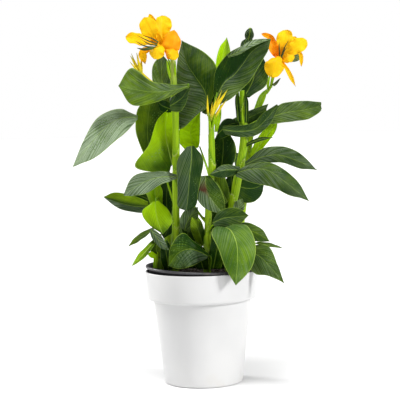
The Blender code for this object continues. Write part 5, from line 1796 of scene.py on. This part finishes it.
# %% Bud spikes
LEFT_ROOT = Vector((-0.103, -0.026, 0.576))
LEFT_LONG_SPIKE = [(-0.057, -0.018, 0.545), (-0.082, -0.024, 0.562), (-0.103, -0.026, 0.582),
                   (-0.113, -0.026, 0.600), (-0.120, -0.026, 0.618)]
spikes = [spindle("spike_left_a", LEFT_LONG_SPIKE, 0.0030, BUD_SKIN, "buds_left")]
LEFT_SPIKES = [((-0.122, -0.024, 0.614), 0.0032), ((-0.110, -0.030, 0.619), 0.0032),
               ((-0.102, -0.022, 0.610), 0.0030), ((-0.123, -0.030, 0.603), 0.0024)]
for i, (tip, thick) in enumerate(LEFT_SPIKES):
    tip = Vector(tip)
    middle = LEFT_ROOT.lerp(tip, 0.5) + Vector((0.0, -0.001, 0.001))
    spikes.append(spindle("spike_left_" + "bcde"[i], [LEFT_ROOT, middle, tip], thick, BUD_SKIN))

CENTRE_LONG_SPIKE = [(0.026, -0.036, 0.500), (0.036, -0.040, 0.520), (0.046, -0.042, 0.534),
                     (0.0555, -0.043, 0.548)]
CENTRE_UPRIGHT_SPIKE = [(0.0185, -0.038, 0.500), (0.018, -0.040, 0.517), (0.0185, -0.040, 0.5385)]
spikes.append(spindle("spike_centre_a", CENTRE_LONG_SPIKE, 0.0030, BUD_SKIN, "buds_centre"))
spikes.append(spindle("spike_centre_b", CENTRE_UPRIGHT_SPIKE, 0.0022, BUD_SKIN, "bud_centre_upright"))
CENTRE_SPIKES = [((0.024, -0.032, 0.492), (0.033, -0.036, 0.517), (0.045, -0.038, 0.547), 0.0032),
                 ((0.023, -0.034, 0.492), (0.029, -0.040, 0.512), (0.035, -0.042, 0.534), 0.0030),
                 ((0.027, -0.030, 0.492), (0.040, -0.032, 0.512), (0.054, -0.034, 0.530), 0.0028),
                 ((0.022, -0.030, 0.488), (0.025, -0.033, 0.506), (0.027, -0.034, 0.526), 0.0028)]
for i, (root, middle, tip, thick) in enumerate(CENTRE_SPIKES):
    spikes.append(spindle("spike_centre_" + "cdef"[i], [root, middle, tip], thick, BUD_SKIN))

RIGHT_SPIKE = [(0.1435, 0.036, 0.5545), (0.1500, 0.034, 0.5600), (0.1575, 0.033, 0.5680)]
spikes.append(spindle("spike_right", RIGHT_SPIKE, 0.0032, OLIVE_SKIN, "bud_right"))
print("bud spikes:", len(spikes))

# %% Stamens and calyx
STAMEN_THICK = 0.0015
WIDE_STAMEN_THICK = 0.0030
STAMENS = {
    "left_a": [(-0.080, -0.036, 0.634), (-0.097, -0.043, 0.640), (-0.115, -0.045, 0.6495)],
    "left_b": [(-0.080, -0.037, 0.631), (-0.095, -0.044, 0.634), (-0.109, -0.046, 0.6425)],
    "left_c": [(-0.082, -0.037, 0.628), (-0.102, -0.044, 0.630), (-0.121, -0.046, 0.6405)],
    "left_d": [(-0.078, -0.037, 0.637), (-0.090, -0.043, 0.644), (-0.106, -0.044, 0.650)],
    "left_wide": [(-0.088, -0.040, 0.627), (-0.103, -0.045, 0.624), (-0.117, -0.045, 0.627)],
    "right_a": [(0.149, 0.014, 0.604), (0.148, 0.008, 0.620), (0.1485, 0.008, 0.635)],
    "right_b": [(0.151, 0.014, 0.606), (0.157, 0.006, 0.622), (0.165, 0.004, 0.637)],
    "right_c": [(0.151, 0.013, 0.602), (0.155, 0.006, 0.614), (0.162, 0.004, 0.624)],
}
for name, points in STAMENS.items():
    thick = WIDE_STAMEN_THICK if "wide" in name else STAMEN_THICK
    spindle("stamen_" + name, moved(name, points), thick, OLIVE_SKIN)

BRACT_SHAPE = dict(
    looks=[(0.0, -1.0, 0.1)], halves=(0.0052, 0.0052), folds=(-35, -35), curl=(-50, -50),
    widest=0.35, blunt=0.9, base=0.7, pleat=0.0, wave=0.0004, tone=(0.85, 0.0, 0.0, 0.1))
BRACTS = {
    "left_a": [(-0.0475, -0.015, 0.566), (-0.0525, -0.021, 0.586), (-0.0555, -0.022, 0.606)],
    "left_b": [(-0.0435, -0.016, 0.564), (-0.0405, -0.021, 0.586), (-0.0395, -0.022, 0.606)],
    "left_c": [(-0.0450, -0.010, 0.570), (-0.0480, -0.008, 0.592), (-0.0560, -0.010, 0.618)],
    "right_a": [(0.1340, 0.042, 0.545), (0.1345, 0.036, 0.560), (0.1390, 0.030, 0.580)],
    "right_b": [(0.1400, 0.040, 0.550), (0.1420, 0.034, 0.566), (0.1450, 0.030, 0.586)],
    "centre_a": [(0.0235, -0.031, 0.470), (0.0215, -0.036, 0.488), (0.0180, -0.038, 0.510)],
    "centre_b": [(0.0245, -0.031, 0.474), (0.0290, -0.036, 0.490), (0.0310, -0.038, 0.508)],
}
for name, route in BRACTS.items():
    leaf("bract_" + name, "leaf_bright", {**BRACT_SHAPE, "route": route}, None, 18, 5)
print("stamens:", len(STAMENS), "bracts:", len(BRACTS))

# %% [markdown]
# ## The rolled tip
# At the very top a new leaf ends in a small tight roll, like the end of a scroll. A blade bent
# that far would fold through itself, so the roll is a short swollen tube instead, with two
# ridges that wind round it where the layers of the leaf lie over each other.

# %% Rolled tip
ROLLED_TIP = [
    (0.0985, 0.063, 0.638, 0.0030), (0.1000, 0.062, 0.645, 0.0066), (0.1015, 0.060, 0.653, 0.0080),
    (0.1025, 0.057, 0.660, 0.0064), (0.1025, 0.055, 0.664, 0.0022),
]


def winding_ridges(angle, height, share, radius):
    return radius * 0.14 * math.cos(2 * angle + 8 * share)


rolled = tube_mesh("blade_rolled_tip", ROLLED_TIP, 24, 0.0012, winding_ridges, lambda *_: (0.04, 0.15))
place("blade_rolled_tip", rolled, SKINS["leaf_deep"], "leaf_deep")
print("rolled tip:", len(rolled.polygons), "faces")
